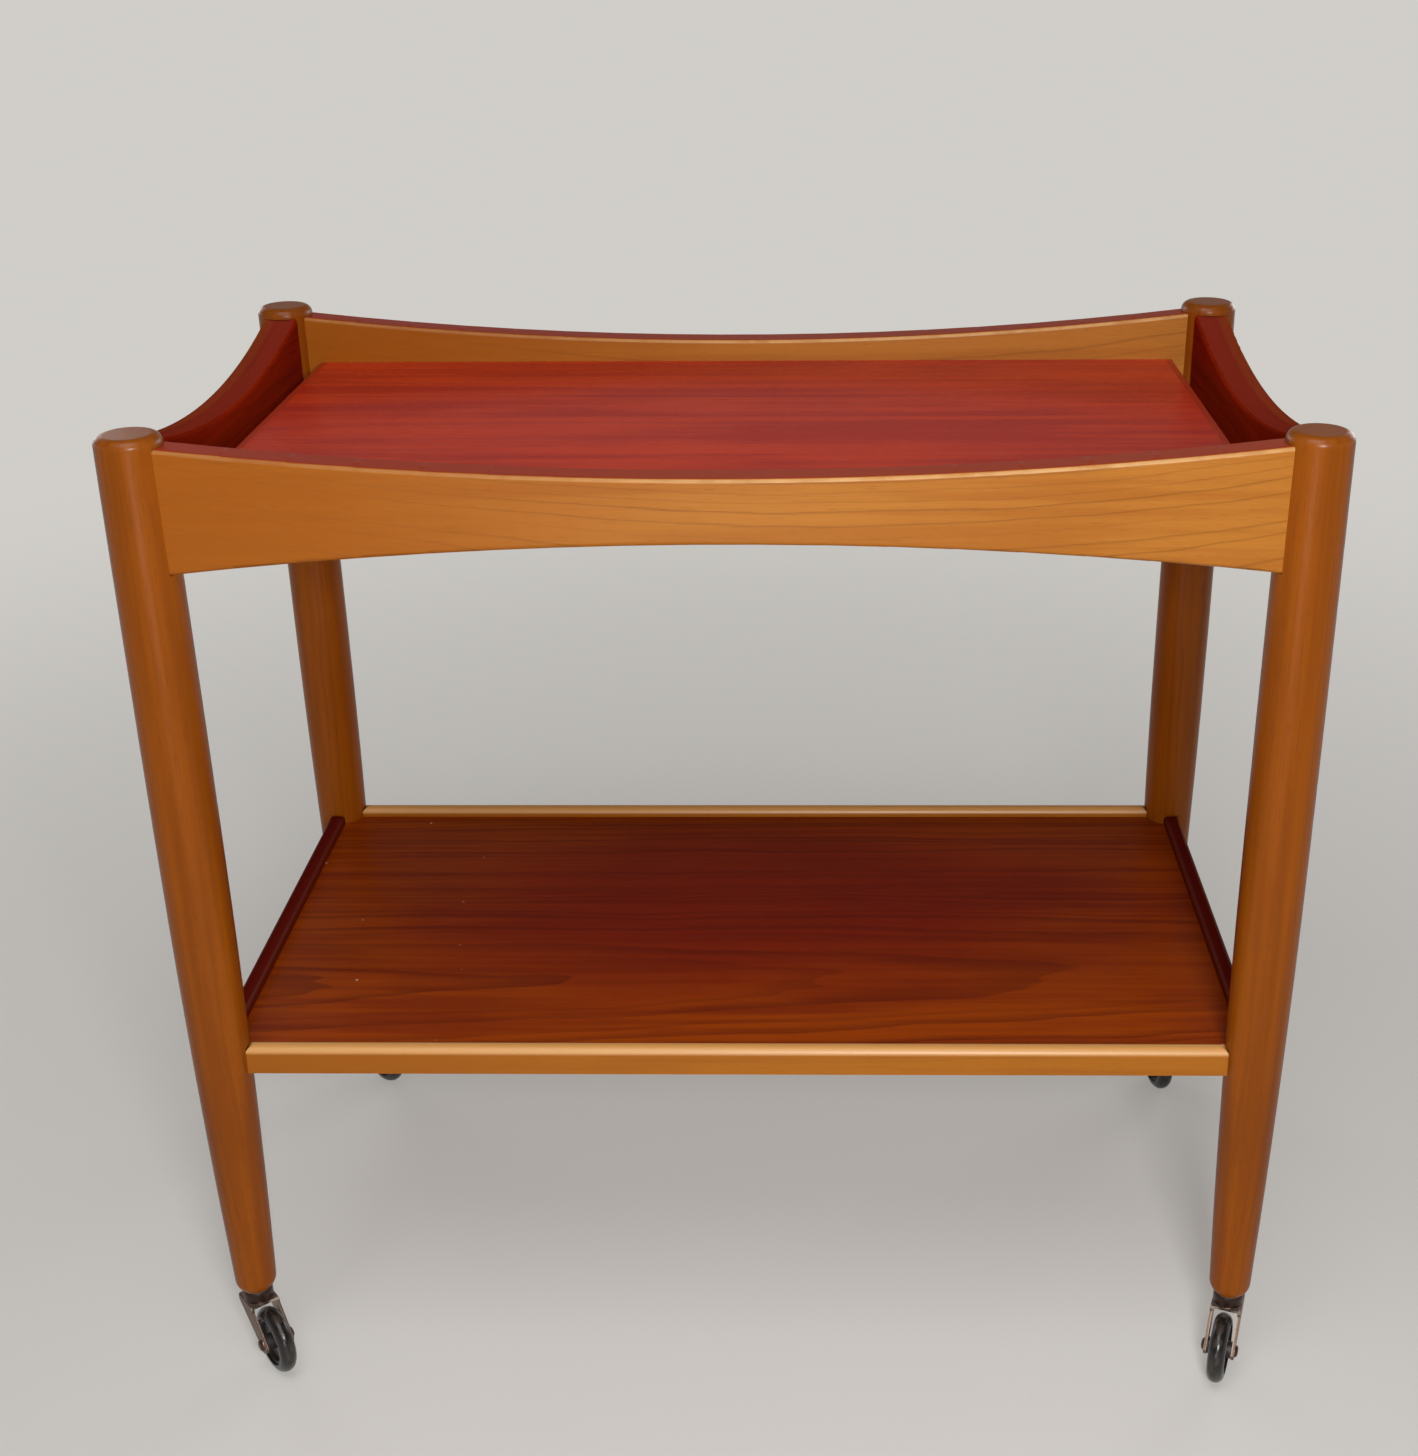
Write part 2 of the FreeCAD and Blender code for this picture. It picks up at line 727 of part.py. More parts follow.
def screw_row(label, plane, length, flip, count, pitch, x, y, z):
    """A row of screws along X. The outline is drawn with the screw's axis upright in its plane,
    and flip turns it over so that the point leads the other way."""
    body = new_body(label, x, y, z)
    body.AllowCompound = True
    profile = []
    for corner in screw_profile(length):
        spots = [(corner[0], toward(flip, corner[1]))]
        if len(corner) == 3:
            spots.append((corner[2][0], toward(flip, corner[2][1])))
        profile.append((*spots[0], spots[1]) if len(spots) > 1 else spots[0])
    sketch = outline(body, "profile", plane, profile)
    screw = turn(body, sketch, "V_Axis")
    pattern = body.newObject("PartDesign::LinearPattern", f"{label}_row")
    pattern.Originals = [screw]
    pattern.Direction = (origin_feature(body, "X_Axis"), [""])
    pattern.Occurrences = count
    bind(pattern, "Length", pitch * (count - 1))
    body.Tip = pattern
    doc.recompute()


def cleat_screws(label, end):
    """Screws through a cleat into the inner face of its rail."""
    length = size["cleat_width"] + size["cleat_screw_bite"]
    pitch = screw_pitch(CLEAT_SCREW_COUNT, size["cleat_screw_inset"])
    first = middle_x - cleat_half + size["cleat_screw_inset"]
    y = middle_y + toward(end, tray_half + size["cleat_screw_bite"])
    z = foot_z + cleat_bottom + size["cleat_height"] / 2
    screw_row(label, "XY_Plane", length, -end, CLEAT_SCREW_COUNT, pitch, first, y, z)


def panel_screws(label, end):
    """Screws up through a cleat into the tray panel."""
    length = size["cleat_height"] + size["panel_screw_bite"]
    pitch = screw_pitch(PANEL_SCREW_COUNT, size["panel_screw_inset"])
    first = middle_x - cleat_half + size["panel_screw_inset"]
    y = middle_y + toward(end, tray_half - size["cleat_width"] / 2)
    z = foot_z + panel_bottom + size["panel_screw_bite"]
    screw_row(label, "XZ_Plane", length, -1, PANEL_SCREW_COUNT, pitch, first, y, z)


# Heights on a caster, from the floor.
flange_bottom = size["caster_height"] - size["socket_flange"]
collar_top = flange_bottom - size["swivel_gap"]
crown_top = size["fork_crown_height"]
crown_bottom = crown_top - size["fork_plate"]
fork_inside = size["fork_width"] - size["fork_plate"] * 2


def socket(corner, x, y):
    """Flanged tube that is driven into the foot of the leg and carries the caster's stem."""
    body = new_body(f"caster_socket_{corner}", x, y)
    inside = size["stem_radius"] + size["fit_gap"]
    top = size["caster_height"] + size["socket_length"]
    profile = outline(body, "profile", "XZ_Plane", [
        (inside, flange_bottom),
        (size["socket_flange_radius"], flange_bottom),
        (size["socket_flange_radius"], size["caster_height"]),
        (socket_radius, size["caster_height"]),
        (socket_radius, top),
        (inside, top),
    ])
    turn(body, profile, "V_Axis")


def stem(corner, x, y, heading):
    """Swivel stem: a grooved pin above a round collar, riveted through the crown of the fork."""
    body = new_body(f"caster_stem_{corner}", x, y, heading=heading)
    pin_radius = size["stem_radius"]
    groove_radius = pin_radius - size["stem_groove_depth"]
    stem_top = collar_top + size["stem_length"]
    groove_top = stem_top - size["stem_groove_drop"]
    groove_bottom = groove_top - size["stem_groove_width"]
    neck = (size["collar_neck_radius"], collar_top)
    shoulder = (size["collar_radius"], collar_top - size["collar_shoulder"])
    head_bottom = crown_bottom - size["spigot_head_height"]
    profile = outline(body, "profile", "XZ_Plane", [
        (ZERO, head_bottom),
        (size["spigot_head_radius"], head_bottom),
        (size["spigot_head_radius"], crown_bottom),
        (size["spigot_radius"], crown_bottom),
        (size["spigot_radius"], crown_top),
        (size["collar_radius"], crown_top),
        (*shoulder, middle_of_round(shoulder, neck)),
        neck,
        (pin_radius, collar_top),
        (pin_radius, groove_bottom),
        (groove_radius, groove_bottom),
        (groove_radius, groove_top),
        (pin_radius, groove_top),
        (pin_radius, stem_top),
        (ZERO, stem_top),
    ])
    turn(body, profile, "V_Axis")


def fork(corner, x, y, heading):
    """Fork bent from one strip: a crown plate and two cheeks that rake back to the axle eyes."""
    body = new_body(f"caster_fork_{corner}", x, y, heading=heading)
    trail = size["caster_trail"]
    axle_z = size["wheel_radius"]
    eye = size["fork_eye_radius"]
    cheek = outline(body, "cheek", "XZ_Plane", [
        (-size["fork_crown_back"], crown_top),
        (-size["fork_crown_back"], crown_top - size["fork_shoulder_drop"]),
        (trail - eye, axle_z, (trail, axle_z - eye)),
        (trail + eye, axle_z),
        (size["fork_crown_front"], crown_top - size["fork_shoulder_drop"]),
        (size["fork_crown_front"], crown_top),
    ])
    pad(body, cheek, size["fork_width"])
    half_width = size["fork_width"].value / 2

    def is_bend(edge):
        box = edge.BoundBox
        outer = same(abs(box.YMin), half_width) and same(box.YMin, box.YMax)
        return outer and same(box.ZMin, crown_top.value)

    ease(body, size["fork_bend_radius"], is_bend)
    reach = trail + eye + size["overrun"]
    space = rectangle(body, "space", "XZ_Plane", (-reach, -size["overrun"]), (reach, crown_bottom))
    cut(body, space, fork_inside, symmetric=True)
    eyes = circles(body, "eyes", "XZ_Plane", [(trail, axle_z)], size["axle_radius"] + size["fit_gap"])
    cut(body, eyes, size["fork_width"] + size["overrun"], symmetric=True)
    hole_radius = size["spigot_radius"] + size["fit_gap"]
    hole = circles(body, "rivet_hole", "XY_Plane", [(ZERO, ZERO)], hole_radius, crown_top)
    cut(body, hole, size["fork_plate"] + size["overrun"])


def axle_place(x, y, heading):
    """Middle of the axle of a caster that trails along its heading."""
    trail = size["caster_trail"]
    return x + trail * cosine(heading), y + trail * sine(heading), size["wheel_radius"]


def axle(corner, x, y, heading):
    """Rivet through both cheeks, with a low round head on each side."""
    body = new_body(f"caster_axle_{corner}", *axle_place(x, y, heading), heading=heading)
    half = size["fork_width"] / 2
    head = size["axle_head_radius"]
    rise = size["axle_head_height"]
    flat = size["axle_head_flat"]
    side_via = half + rise * DIAGONAL_SHARE
    edge_via = flat + (head - flat) * DIAGONAL_SHARE
    profile = outline(body, "profile", "YZ_Plane", [
        (-(half + rise), ZERO),
        (-(half + rise), flat, (-side_via, edge_via)),
        (-half, head),
        (-half, size["axle_radius"]),
        (half, size["axle_radius"]),
        (half, head, (side_via, edge_via)),
        (half + rise, flat),
        (half + rise, ZERO),
    ])
    turn(body, profile, "H_Axis")


def wheel(corner, x, y, heading):
    """Wheel centre: a long hub on the axle, a thin web and a rim that carries the tyre."""
    body = new_body(f"caster_wheel_{corner}", *axle_place(x, y, heading), heading=heading)
    bore = size["axle_radius"] + size["fit_gap"]
    hub = fork_inside / 2 - size["hub_gap"]
    web = size["web_thickness"] / 2
    rim = size["rim_width"] / 2
    profile = outline(body, "profile", "YZ_Plane", [
        (-hub, bore),
        (hub, bore),
        (hub, size["hub_radius"]),
        (web, size["hub_radius"]),
        (web, size["web_radius"]),
        (rim, size["web_radius"]),
        (rim, size["rim_radius"]),
        (-rim, size["rim_radius"]),
        (-rim, size["web_radius"]),
        (-web, size["web_radius"]),
        (-web, size["hub_radius"]),
        (-hub, size["hub_radius"]),
    ])
    turn(body, profile, "H_Axis")


def tyre(corner, x, y, heading):
    """Solid tyre with a round tread, seated on the rim."""
    body = new_body(f"caster_tyre_{corner}", *axle_place(x, y, heading), heading=heading)
    half = size["tyre_width"] / 2
    inside = size["rim_radius"] + size["fit_gap"]
    wall = inside + size["tyre_shoulder"]
    profile = outline(body, "profile", "YZ_Plane", [
        (-half, inside),
        (half, inside),
        (half, wall, (ZERO, size["wheel_radius"])),
        (-half, wall),
    ])
    turn(body, profile, "H_Axis")


def caster(corner, side, end):
    """One swivel caster under its leg, turned to its heading."""
    x = middle_x + toward(side, half_long)
    y = middle_y + toward(end, half_short)
    heading = size[f"heading_{corner}"]
    socket(corner, x, y)
    for piece in (stem, fork, axle, wheel, tyre):
        piece(corner, x, y, heading)


def build():
    for corner in CORNERS:
        leg(*corner)
    for name, end in (("front", -1), ("rear", 1)):
        long_top_rail(f"top_rail_{name}", end)
        long_shelf_rail(f"shelf_rail_{name}", end)
        cleat(f"cleat_{name}", end)
        cleat_screws(f"cleat_screws_{name}", end)
        panel_screws(f"panel_screws_{name}", end)
    for name, side in (("left", -1), ("right", 1)):
        side_top_rail(f"top_rail_{name}", side)
        side_shelf_rail(f"shelf_rail_{name}", side)
        lipping(f"top_panel_lipping_{name}", side)
    top_panel()
    shelf_panel()
    dowels("top_rail_dowels", tray_long_joint, tray_side_joint)
    dowels("shelf_rail_dowels", shelf_long_joint, shelf_side_joint)
    for corner in CORNERS:
        caster(*corner)
    doc.recompute()


def check():
    """Stops before anything is written if an object failed or a shape is not sound."""
    for item in doc.Objects:
        if "Invalid" in item.State or "Error" in item.State:
            raise RuntimeError(f"{item.Label} failed: {item.State}")
    for node in nodes:
        if node.Shape.isNull() or not node.Shape.isValid():
            raise RuntimeError(f"{node.Label} has no sound shape")


def write():
    for node in nodes:
        node.Shape.exportStep(f"parts/{node.Label}.step")
        print(node.Label, len(node.Shape.Solids), round(node.Shape.Volume))


build()
check()
write()
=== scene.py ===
"""Looks of a two-tier tea trolley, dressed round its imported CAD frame.

The CAD nodes keep their shapes and get procedural finishes: lacquered wood whose growth rings run
through the solid, veneer, bronzed caster metal, and rubber. The wood screws under the tray get the
slots and threads that the plain solids lack. Lengths in the finishes are in millimetres.
"""

import json
import logging
import math
from collections.abc import Iterable
from dataclasses import dataclass
from enum import Enum

import bmesh
import bpy
from mathutils import Matrix, Vector

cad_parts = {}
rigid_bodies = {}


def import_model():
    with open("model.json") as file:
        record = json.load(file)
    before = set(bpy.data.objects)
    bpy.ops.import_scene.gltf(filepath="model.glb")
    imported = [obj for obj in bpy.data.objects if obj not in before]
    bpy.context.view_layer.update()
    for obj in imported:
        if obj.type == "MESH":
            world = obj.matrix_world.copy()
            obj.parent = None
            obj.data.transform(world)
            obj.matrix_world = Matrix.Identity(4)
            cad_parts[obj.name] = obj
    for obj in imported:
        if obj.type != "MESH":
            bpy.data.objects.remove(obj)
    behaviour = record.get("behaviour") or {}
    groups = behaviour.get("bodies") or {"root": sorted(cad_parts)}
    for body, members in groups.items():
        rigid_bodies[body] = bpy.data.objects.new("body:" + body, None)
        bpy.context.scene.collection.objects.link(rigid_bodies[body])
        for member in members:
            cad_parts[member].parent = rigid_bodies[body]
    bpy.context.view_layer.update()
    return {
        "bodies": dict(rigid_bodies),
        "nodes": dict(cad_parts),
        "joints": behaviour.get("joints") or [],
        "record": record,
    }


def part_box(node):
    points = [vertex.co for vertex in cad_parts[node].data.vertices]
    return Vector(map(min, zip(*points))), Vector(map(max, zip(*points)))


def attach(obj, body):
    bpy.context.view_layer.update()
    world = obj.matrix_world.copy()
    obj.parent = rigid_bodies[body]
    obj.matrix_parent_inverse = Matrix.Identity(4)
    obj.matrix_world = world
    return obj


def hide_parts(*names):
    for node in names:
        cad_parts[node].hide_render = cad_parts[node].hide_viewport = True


LOG = logging.getLogger("tea_trolley")
MM = 1000.0

Rgb = tuple[float, float, float]
Range = tuple[float, float]

EDGE_TURN: Range = (0.995, 0.85)
SHARP_ANGLE = math.radians(35.0)


def srgb(red: int, green: int, blue: int) -> Rgb:
    """Linear colour of a display colour, whose levels run from 0 to 255."""
    levels = (red / 255.0, green / 255.0, blue / 255.0)
    return tuple(v / 12.92 if v <= 0.04045 else ((v + 0.055) / 1.055) ** 2.4 for v in levels)


def tinted(colour: Rgb, level: float) -> Rgb:
    """The same colour, darker."""
    return tuple(part * level for part in colour)


class Wire:
    """The output of a node, which takes part in Python sums: each operator adds a Math node."""

    def __init__(self, graph: "Graph", socket: bpy.types.NodeSocket | None) -> None:
        """Keeps the tree and the socket that the wire starts from."""
        self.graph = graph
        self.socket = socket

    def maths(self, operation: str, *values: "Wire | float") -> "Wire":
        """Result of a Math node of Blender's name, with its inputs in order."""
        return self.graph.node("ShaderNodeMath", {"operation": operation}, dict(enumerate(values)))

    def out(self, name: str) -> "Wire":
        """Another output of the same node."""
        return Wire(self.graph, self.socket.node.outputs[name])

    def __add__(self, other: "Wire | float") -> "Wire":
        """Sum."""
        return self.maths("ADD", self, other)

    def __sub__(self, other: "Wire | float") -> "Wire":
        """Difference."""
        return self.maths("SUBTRACT", self, other)

    def __rsub__(self, other: float) -> "Wire":
        """Difference from a number."""
        return self.maths("SUBTRACT", other, self)

    def __mul__(self, other: "Wire | float") -> "Wire":
        """Product."""
        return self.maths("MULTIPLY", self, other)

    def __truediv__(self, other: "Wire | float") -> "Wire":
        """Quotient."""
        return self.maths("DIVIDE", self, other)

    def __pow__(self, other: float) -> "Wire":
        """Power."""
        return self.maths("POWER", self, other)

    def __abs__(self) -> "Wire":
        """Size without its sign."""
        return self.maths("ABSOLUTE", self)

    def __floor__(self) -> "Wire":
        """Whole number below."""
        return self.maths("FLOOR", self)

    def fraction(self) -> "Wire":
        """What is left over the whole number below."""
        return self.maths("FRACT", self)

    def sign(self) -> "Wire":
        """-1 below zero and 1 above it."""
        return self.maths("SIGN", self)

    def most(self, other: "Wire | float") -> "Wire":
        """The larger of two values."""
        return self.maths("MAXIMUM", self, other)

    def clamp(self) -> "Wire":
        """The value, kept from 0 to 1."""
        return self.maths("MINIMUM", self.most(0.0), 1.0)

    def hypot(self, other: "Wire | float") -> "Wire":
        """Length of the slanting side over two square sides."""
        return (self * self + other * other) ** 0.5


Spot = tuple[Wire, Wire, Wire]
Value = Wire | float | int | bool | str | tuple | Vector | bpy.types.ID


class Graph:
    """A node tree of any kind, with one way to add nodes to it."""

    def __init__(self, tree: bpy.types.NodeTree) -> None:
        """Keeps the tree."""
        self.tree = tree

    def node(
        self,
        kind: str,
        settings: dict[str, object] | None = None,
        inputs: dict[int | str, Value] | None = None,
        output: int | str = 0,
    ) -> Wire:
        """Adds one node.

        Args:
            kind: Blender's type name of the node.
            settings: Its own settings, set first.
            inputs: Values or wires for its sockets, by name or place.
            output: The output that the returned wire starts from.

        Returns:
            A wire from the node.
        """
        made = self.tree.nodes.new(kind)
        for name, value in (settings or {}).items():
            setattr(made, name, value)
        for key, value in (inputs or {}).items():
            socket = made.inputs[key]
            if isinstance(value, Wire):
                self.tree.links.new(value.socket, socket)
            else:
                socket.default_value = value
        return Wire(self, made.outputs[output] if len(made.outputs) else None)


class Shader(Graph):
    """The node tree of one finish."""

    def __init__(self, name: str) -> None:
        """Starts an empty material.

        Args:
            name: Name of the material.
        """
        self.material = bpy.data.materials.new(name)
        self.material.use_nodes = True
        super().__init__(self.material.node_tree)
        self.tree.nodes.clear()

    def place(self) -> Wire:
        """Place on the trolley, in millimetres."""
        spot = self.node("ShaderNodeTexCoord", output="Object")
        return self.node("ShaderNodeVectorMath", {"operation": "SCALE"}, {0: spot, "Scale": MM})

    def local_place(self, centre: Vector, heading: float) -> Wire:
        """Place on a piece with its origin at a centre in metres, and turned, in millimetres."""
        inputs = {"Vector": self.place(), "Location": centre * MM, "Rotation": (0.0, 0.0, heading)}
        return self.node("ShaderNodeMapping", {"vector_type": "TEXTURE"}, inputs)

    def split(self, vector: Wire) -> Spot:
        """The three parts of a vector."""
        first = self.node("ShaderNodeSeparateXYZ", inputs={0: vector})
        return first, first.out("Y"), first.out("Z")

    def noise(self, spot: tuple[Wire | float, ...], detail: float = 2.0, grit: float = 0.5) -> Wire:
        """Smooth noise from 0 to 1, with features about one unit apart.

        Args:
            spot: Three places to read it at.
            detail: Number of finer octaves.
            grit: Strength of each finer octave.

        Returns:
            The noise.
        """
        vector = self.node("ShaderNodeCombineXYZ", inputs=dict(enumerate(spot)))
        inputs = {"Vector": vector, "Scale": 1.0, "Detail": detail, "Roughness": grit}
        return self.node("ShaderNodeTexNoise", {"noise_dimensions": "3D"}, inputs)

    def step(self, value: Wire, low: float, high: float) -> Wire:
        """Soft step from 0 at low to 1 at high."""
        inputs = {"Value": value, "From Min": low, "From Max": high}
        return self.node("ShaderNodeMapRange", {"interpolation_type": "SMOOTHSTEP"}, inputs)

    def blend(self, share: Wire | float, first: Wire | Rgb, second: Wire | Rgb) -> Wire:
        """Mix of two colours.

        Args:
            share: 0 for the first, 1 for the second.
            first, second: Wires or linear colours.

        Returns:
            The mixed colour.
        """
        inputs = {0: share}
        for key, colour in ((6, first), (7, second)):
            inputs[key] = colour if isinstance(colour, Wire) else (*colour, 1.0)
        return self.node("ShaderNodeMix", {"data_type": "RGBA", "clamp_factor": True}, inputs, 2)

    def edge(self, radius: float) -> Wire:
        """How sharply the surface turns.

        Args:
            radius: How far round a place to look, in millimetres.

        Returns:
            0 on a flat, 1 on an edge.
        """
        rounded = self.node("ShaderNodeBevel", {"samples": 6}, {"Radius": radius / MM})
        plain = self.node("ShaderNodeNewGeometry", output="Normal")
        alike = self.node(
            "ShaderNodeVectorMath", {"operation": "DOT_PRODUCT"}, {0: rounded, 1: plain}, "Value"
        )
        return self.step(alike, *EDGE_TURN)

    def finish(
        self,
        colour: Wire,
        roughness: Wire,
        height: Wire,
        depth: float,
        fixed: dict[str, float],
        metallic: Wire | float = 0.0,
        coat: Wire | float = 0.0,
        facing: Wire | None = None,
    ) -> bpy.types.Material:
        """Closes the tree with its surface.

        Args:
            colour: Base colour.
            roughness: Roughness from 0 to 1.
            height: Relief from 0 to 1.
            depth: Depth of that relief, in metres.
            fixed: Other values of the surface, alike all over.
            metallic: Metal share.
            coat: Share of clear polish over it.
            facing: Way that the surface faces, where it isn't the mesh's own.

        Returns:
            The finished material.
        """
        raised = {"Strength": 1.0, "Distance": depth, "Height": height}
        if facing is not None:
            raised["Normal"] = facing
        inputs = {
            "Base Color": colour,
            "Roughness": roughness,
            "Metallic": metallic,
            "Normal": self.node("ShaderNodeBump", inputs=raised),
            "Coat Weight": coat,
        }
        surface = self.node("ShaderNodeBsdfPrincipled", inputs=inputs | fixed)
        self.node("ShaderNodeOutputMaterial", inputs={"Surface": surface})
        return self.material


@dataclass(frozen=True)
class Plan:
    """Where the trolley's main lines stand, in millimetres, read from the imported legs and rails."""

    middle_x: float
    middle_y: float
    half_long: float
    half_short: float
    rail_z: float
    rail_top: float
    long_rail_half: float
    side_rail_half: float

    @classmethod
    def read(cls) -> "Plan":
        """Reads the plan from the CAD boxes.

        Returns:
            The plan.
        """
        left = sum(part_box("leg_front_left"), Vector()) / 2 * MM
        right = sum(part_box("leg_rear_right"), Vector()) / 2 * MM
        low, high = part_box("top_rail_front")
        rail = (low + high) / 2 * MM
        reach = (high - low) / 2 * MM
        side_low, side_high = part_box("top_rail_left")
        middle = (left + right) / 2
        half = (right - left) / 2
        return cls(
            middle_x=middle.x, middle_y=middle.y, half_long=half.x, half_short=half.y,
            rail_z=rail.z, rail_top=reach.z, long_rail_half=reach.x,
            side_rail_half=(side_high.y - side_low.y) / 2 * MM,
        )


class Cut(Enum):
    """The way that a piece was cut from its log, which sets how its grain runs."""

    LEG = "upright billet"
    LONG_RAIL = "flat board along the trolley"
    SIDE_RAIL = "flat board across the trolley"
    QUARTERED = "straight veneer along the trolley"
    FLAME = "flat veneer along the trolley"
    CROSS_STRIP = "narrow strip across the trolley"


class Board(Shader):
    """The node tree of a wooden finish, with the place on the board that it is read at.

    Attributes:
        along, across, into: Place along the grain, across the face and into the board.
        aside: Place sideways from the middle of the trolley, for a rail.
        half: Half the length of a tray rail of this cut.
    """

    def __init__(self, name: str, cut: Cut, plan: Plan) -> None:
        """Starts an empty material and turns the place on the trolley to the grain.

        Args:
            name: Name of the material.
            cut: How the piece was cut from its log.
            plan: Main lines of the trolley.
        """
        super().__init__(name)
        x, y, z = self.split(self.place())
        x, y, rise = x - plan.middle_x, y - plan.middle_y, z - plan.rail_z
        end, side = abs(x) - plan.half_long, abs(y) - plan.half_short
        turned = {
            Cut.LEG: (z, end, side),
            Cut.LONG_RAIL: (x, rise, side),
            Cut.SIDE_RAIL: (y, rise, end),
            Cut.CROSS_STRIP: (y, end, rise),
        }
        self.along, self.across, self.into = turned.get(cut, (x, y, rise))
        self.aside = y if cut is Cut.LONG_RAIL else x
        self.half = plan.long_rail_half if cut is Cut.LONG_RAIL else plan.side_rail_half


@dataclass(frozen=True)
class Grain:
    """A noise pattern in wood, with its lengths along and across the grain in millimetres."""

    along: float
    across: float
    detail: float = 2.0
    grit: float = 0.5

    def read(self, board: Board) -> Wire:
        """Noise from 0 to 1."""
        place = (board.along / self.along, board.across / self.across, board.into / self.across)
        return board.noise(place, self.detail, self.grit)


@dataclass(frozen=True)
class Heart:
    """Where the heart of the log lies beside a board, and how it slopes and bows."""

    across: float
    into: float = 0.0
    lean: float = 0.0
    dip: float = 0.0
    bow: float = 0.0
    bow_middle: float = 50.0
    bow_half: float = 330.0

    def distance(self, board: Board) -> Wire:
        """Measures from the heart, which the growth rings run round.

        Args:
            board: The wood being finished.

        Returns:
            The distance in millimetres.
        """
        out = board.across + self.across + board.along * self.lean
        if self.bow:
            off = (board.along - self.bow_middle) / self.bow_half
            out = out - off * off * self.bow
        deep = board.along * self.dip if self.dip else board.into
        return out.hypot(deep + self.into)


HEARTS = {
    Cut.LEG: Heart(-43.0, 66.0, lean=0.012),
    Cut.LONG_RAIL: Heart(88.0, -70.0, bow=30.0),
    Cut.SIDE_RAIL: Heart(61.0, -80.0, lean=0.05),
    Cut.QUARTERED: Heart(640.0, lean=0.008),
    Cut.FLAME: Heart(84.0, 50.0, lean=-0.03, dip=0.062),
    Cut.CROSS_STRIP: Heart(640.0, lean=0.008),
}


@dataclass(frozen=True)
class Warmth:
    """A warmer colour towards the right end of a board, or all round a middle that is given."""

    colour: Rgb
    reach: Range
    swing: float = 160.0
    middle: Range | None = None
    stretch: float = 2.2
    cloud_size: Range = (150.0, 60.0)
    cloud_layer: float = 0.3

    def share(self, board: Board) -> Wire:
        """Finds how far the colour has turned.

        Args:
            board: The wood being finished.

        Returns:
            0 for the plain ground, 1 for the warmer colour.
        """
        far, across = board.along, board.across
        cloud = (far / self.cloud_size[0], across / self.cloud_size[1], self.cloud_layer)
        if self.middle is not None:
            far = ((far - self.middle[0]) / self.stretch).hypot(across - self.middle[1])
        return board.step(far + (board.noise(cloud) - 0.5) * self.swing, *self.reach)


@dataclass(frozen=True)
class PaintedEdgeHighlight:
    """Painted highlight on an eased edge: a pale, patchy line, stronger from the middle to the right.
    """

    colour: Rgb
    right_part: Range = (-200.0, 60.0)
    left_share: float = 0.12
    right_gain: float = 0.36
    patch_size: Range = (22.0, 40.0)
    patch_layer: float = 0.4
    patch_levels: Range = (0.30, 0.62)
    patch_depth: float = 0.6

    def share(self, board: Board) -> Wire:
        """Finds how strong the painted highlight on the edge is.

        Args:
            board: The wood being finished.

        Returns:
            0 for none, 1 for the full pale colour of the painted highlight.
        """
        highlight_strength = board.step(board.along, *self.right_part) * self.right_gain + self.left_share
        long, deep = self.patch_size
        place = (board.along / long, self.patch_layer, board.into / deep)
        patches = board.step(board.noise(place, 3.0, 0.6), *self.patch_levels)
        return highlight_strength * (patches * self.patch_depth + (1.0 - self.patch_depth))


@dataclass(frozen=True)
class Dust:
    """Sparse pale specks on the left part of a level face."""

    colour: Rgb = srgb(208, 186, 160)
    spacing: float = 64.0
    left_part: Range = (-270.0, -190.0)
    chosen: Range = (0.40, 0.44)
    size: Range = (0.010, 0.020)
    weight: float = 0.85
    roughness: float = 0.4

    def specks(self, board: Board) -> Wire:
        """Finds the specks.

        Args:
            board: The wood being finished.

        Returns:
            1 on a speck, 0 elsewhere.
        """
        place = {0: board.along / self.spacing, 1: board.across / self.spacing}
        cells = {"Vector": board.node("ShaderNodeCombineXYZ", inputs=place), "Scale": 1.0}
        cell = board.node("ShaderNodeTexVoronoi", {"voronoi_dimensions": "2D"}, cells)
        lot = board.split(cell.out("Color"))[0]
        kept = (1.0 - board.step(board.along, *self.left_part)) * board.step(lot, *self.chosen)
        return (1.0 - board.step(cell, *self.size)) * kept


@dataclass(frozen=True)
class WoodPattern:
    """What all the woods share: patterns, the levels that each counts between, and its weight."""

    warp: Grain = Grain(190.0, 38.0)
    curl: Grain = Grain(34.0, 8.0, 1.0)
    curl_swing: float = 1.2
    crowding: float = 17.0
    crowding_layer: Range = (0.37, 0.71)
    crowded_rings: float = 3.0
    late_peak: float = 0.97
    late_fall: Range = (0.975, 1.0)
    year_stride: float = 3.77
    strong_years: Range = (0.26, 0.70)
    plain_end: Range = (-270.0, -40.0)
    plain_share: float = 0.25
    flow_length: float = 320.0
    cloud: Grain = Grain(130.0, 55.0)
    cloud_weight: float = 0.5
    streaks: Range = (0.36, 0.68)
    fibre: Grain = Grain(42.0, 1.0 / 1.7, 3.0, 0.6)
    fibres: Range = (0.25, 0.85)
    fibre_weight: float = 0.34
    pore: Grain = Grain(12.0, 1.0 / 2.2, 1.0)
    pores: Range = (0.63, 0.75)
    pore_weight: float = 0.36
    handling: Grain = Grain(90.0, 60.0, 3.0, 0.6)
    mean_roughness: float = 0.08
    relief_depth: float = 0.00005
    outer_side: Range = (2.0, 5.0)
    outer_streak: float = 0.72
    eased_from: Range = (0.08, 0.34)
    eased_to: Range = (0.74, 0.95)
    painted_top_weight: float = 0.82
    turn_start: float = 0.03


WOOD = WoodPattern()


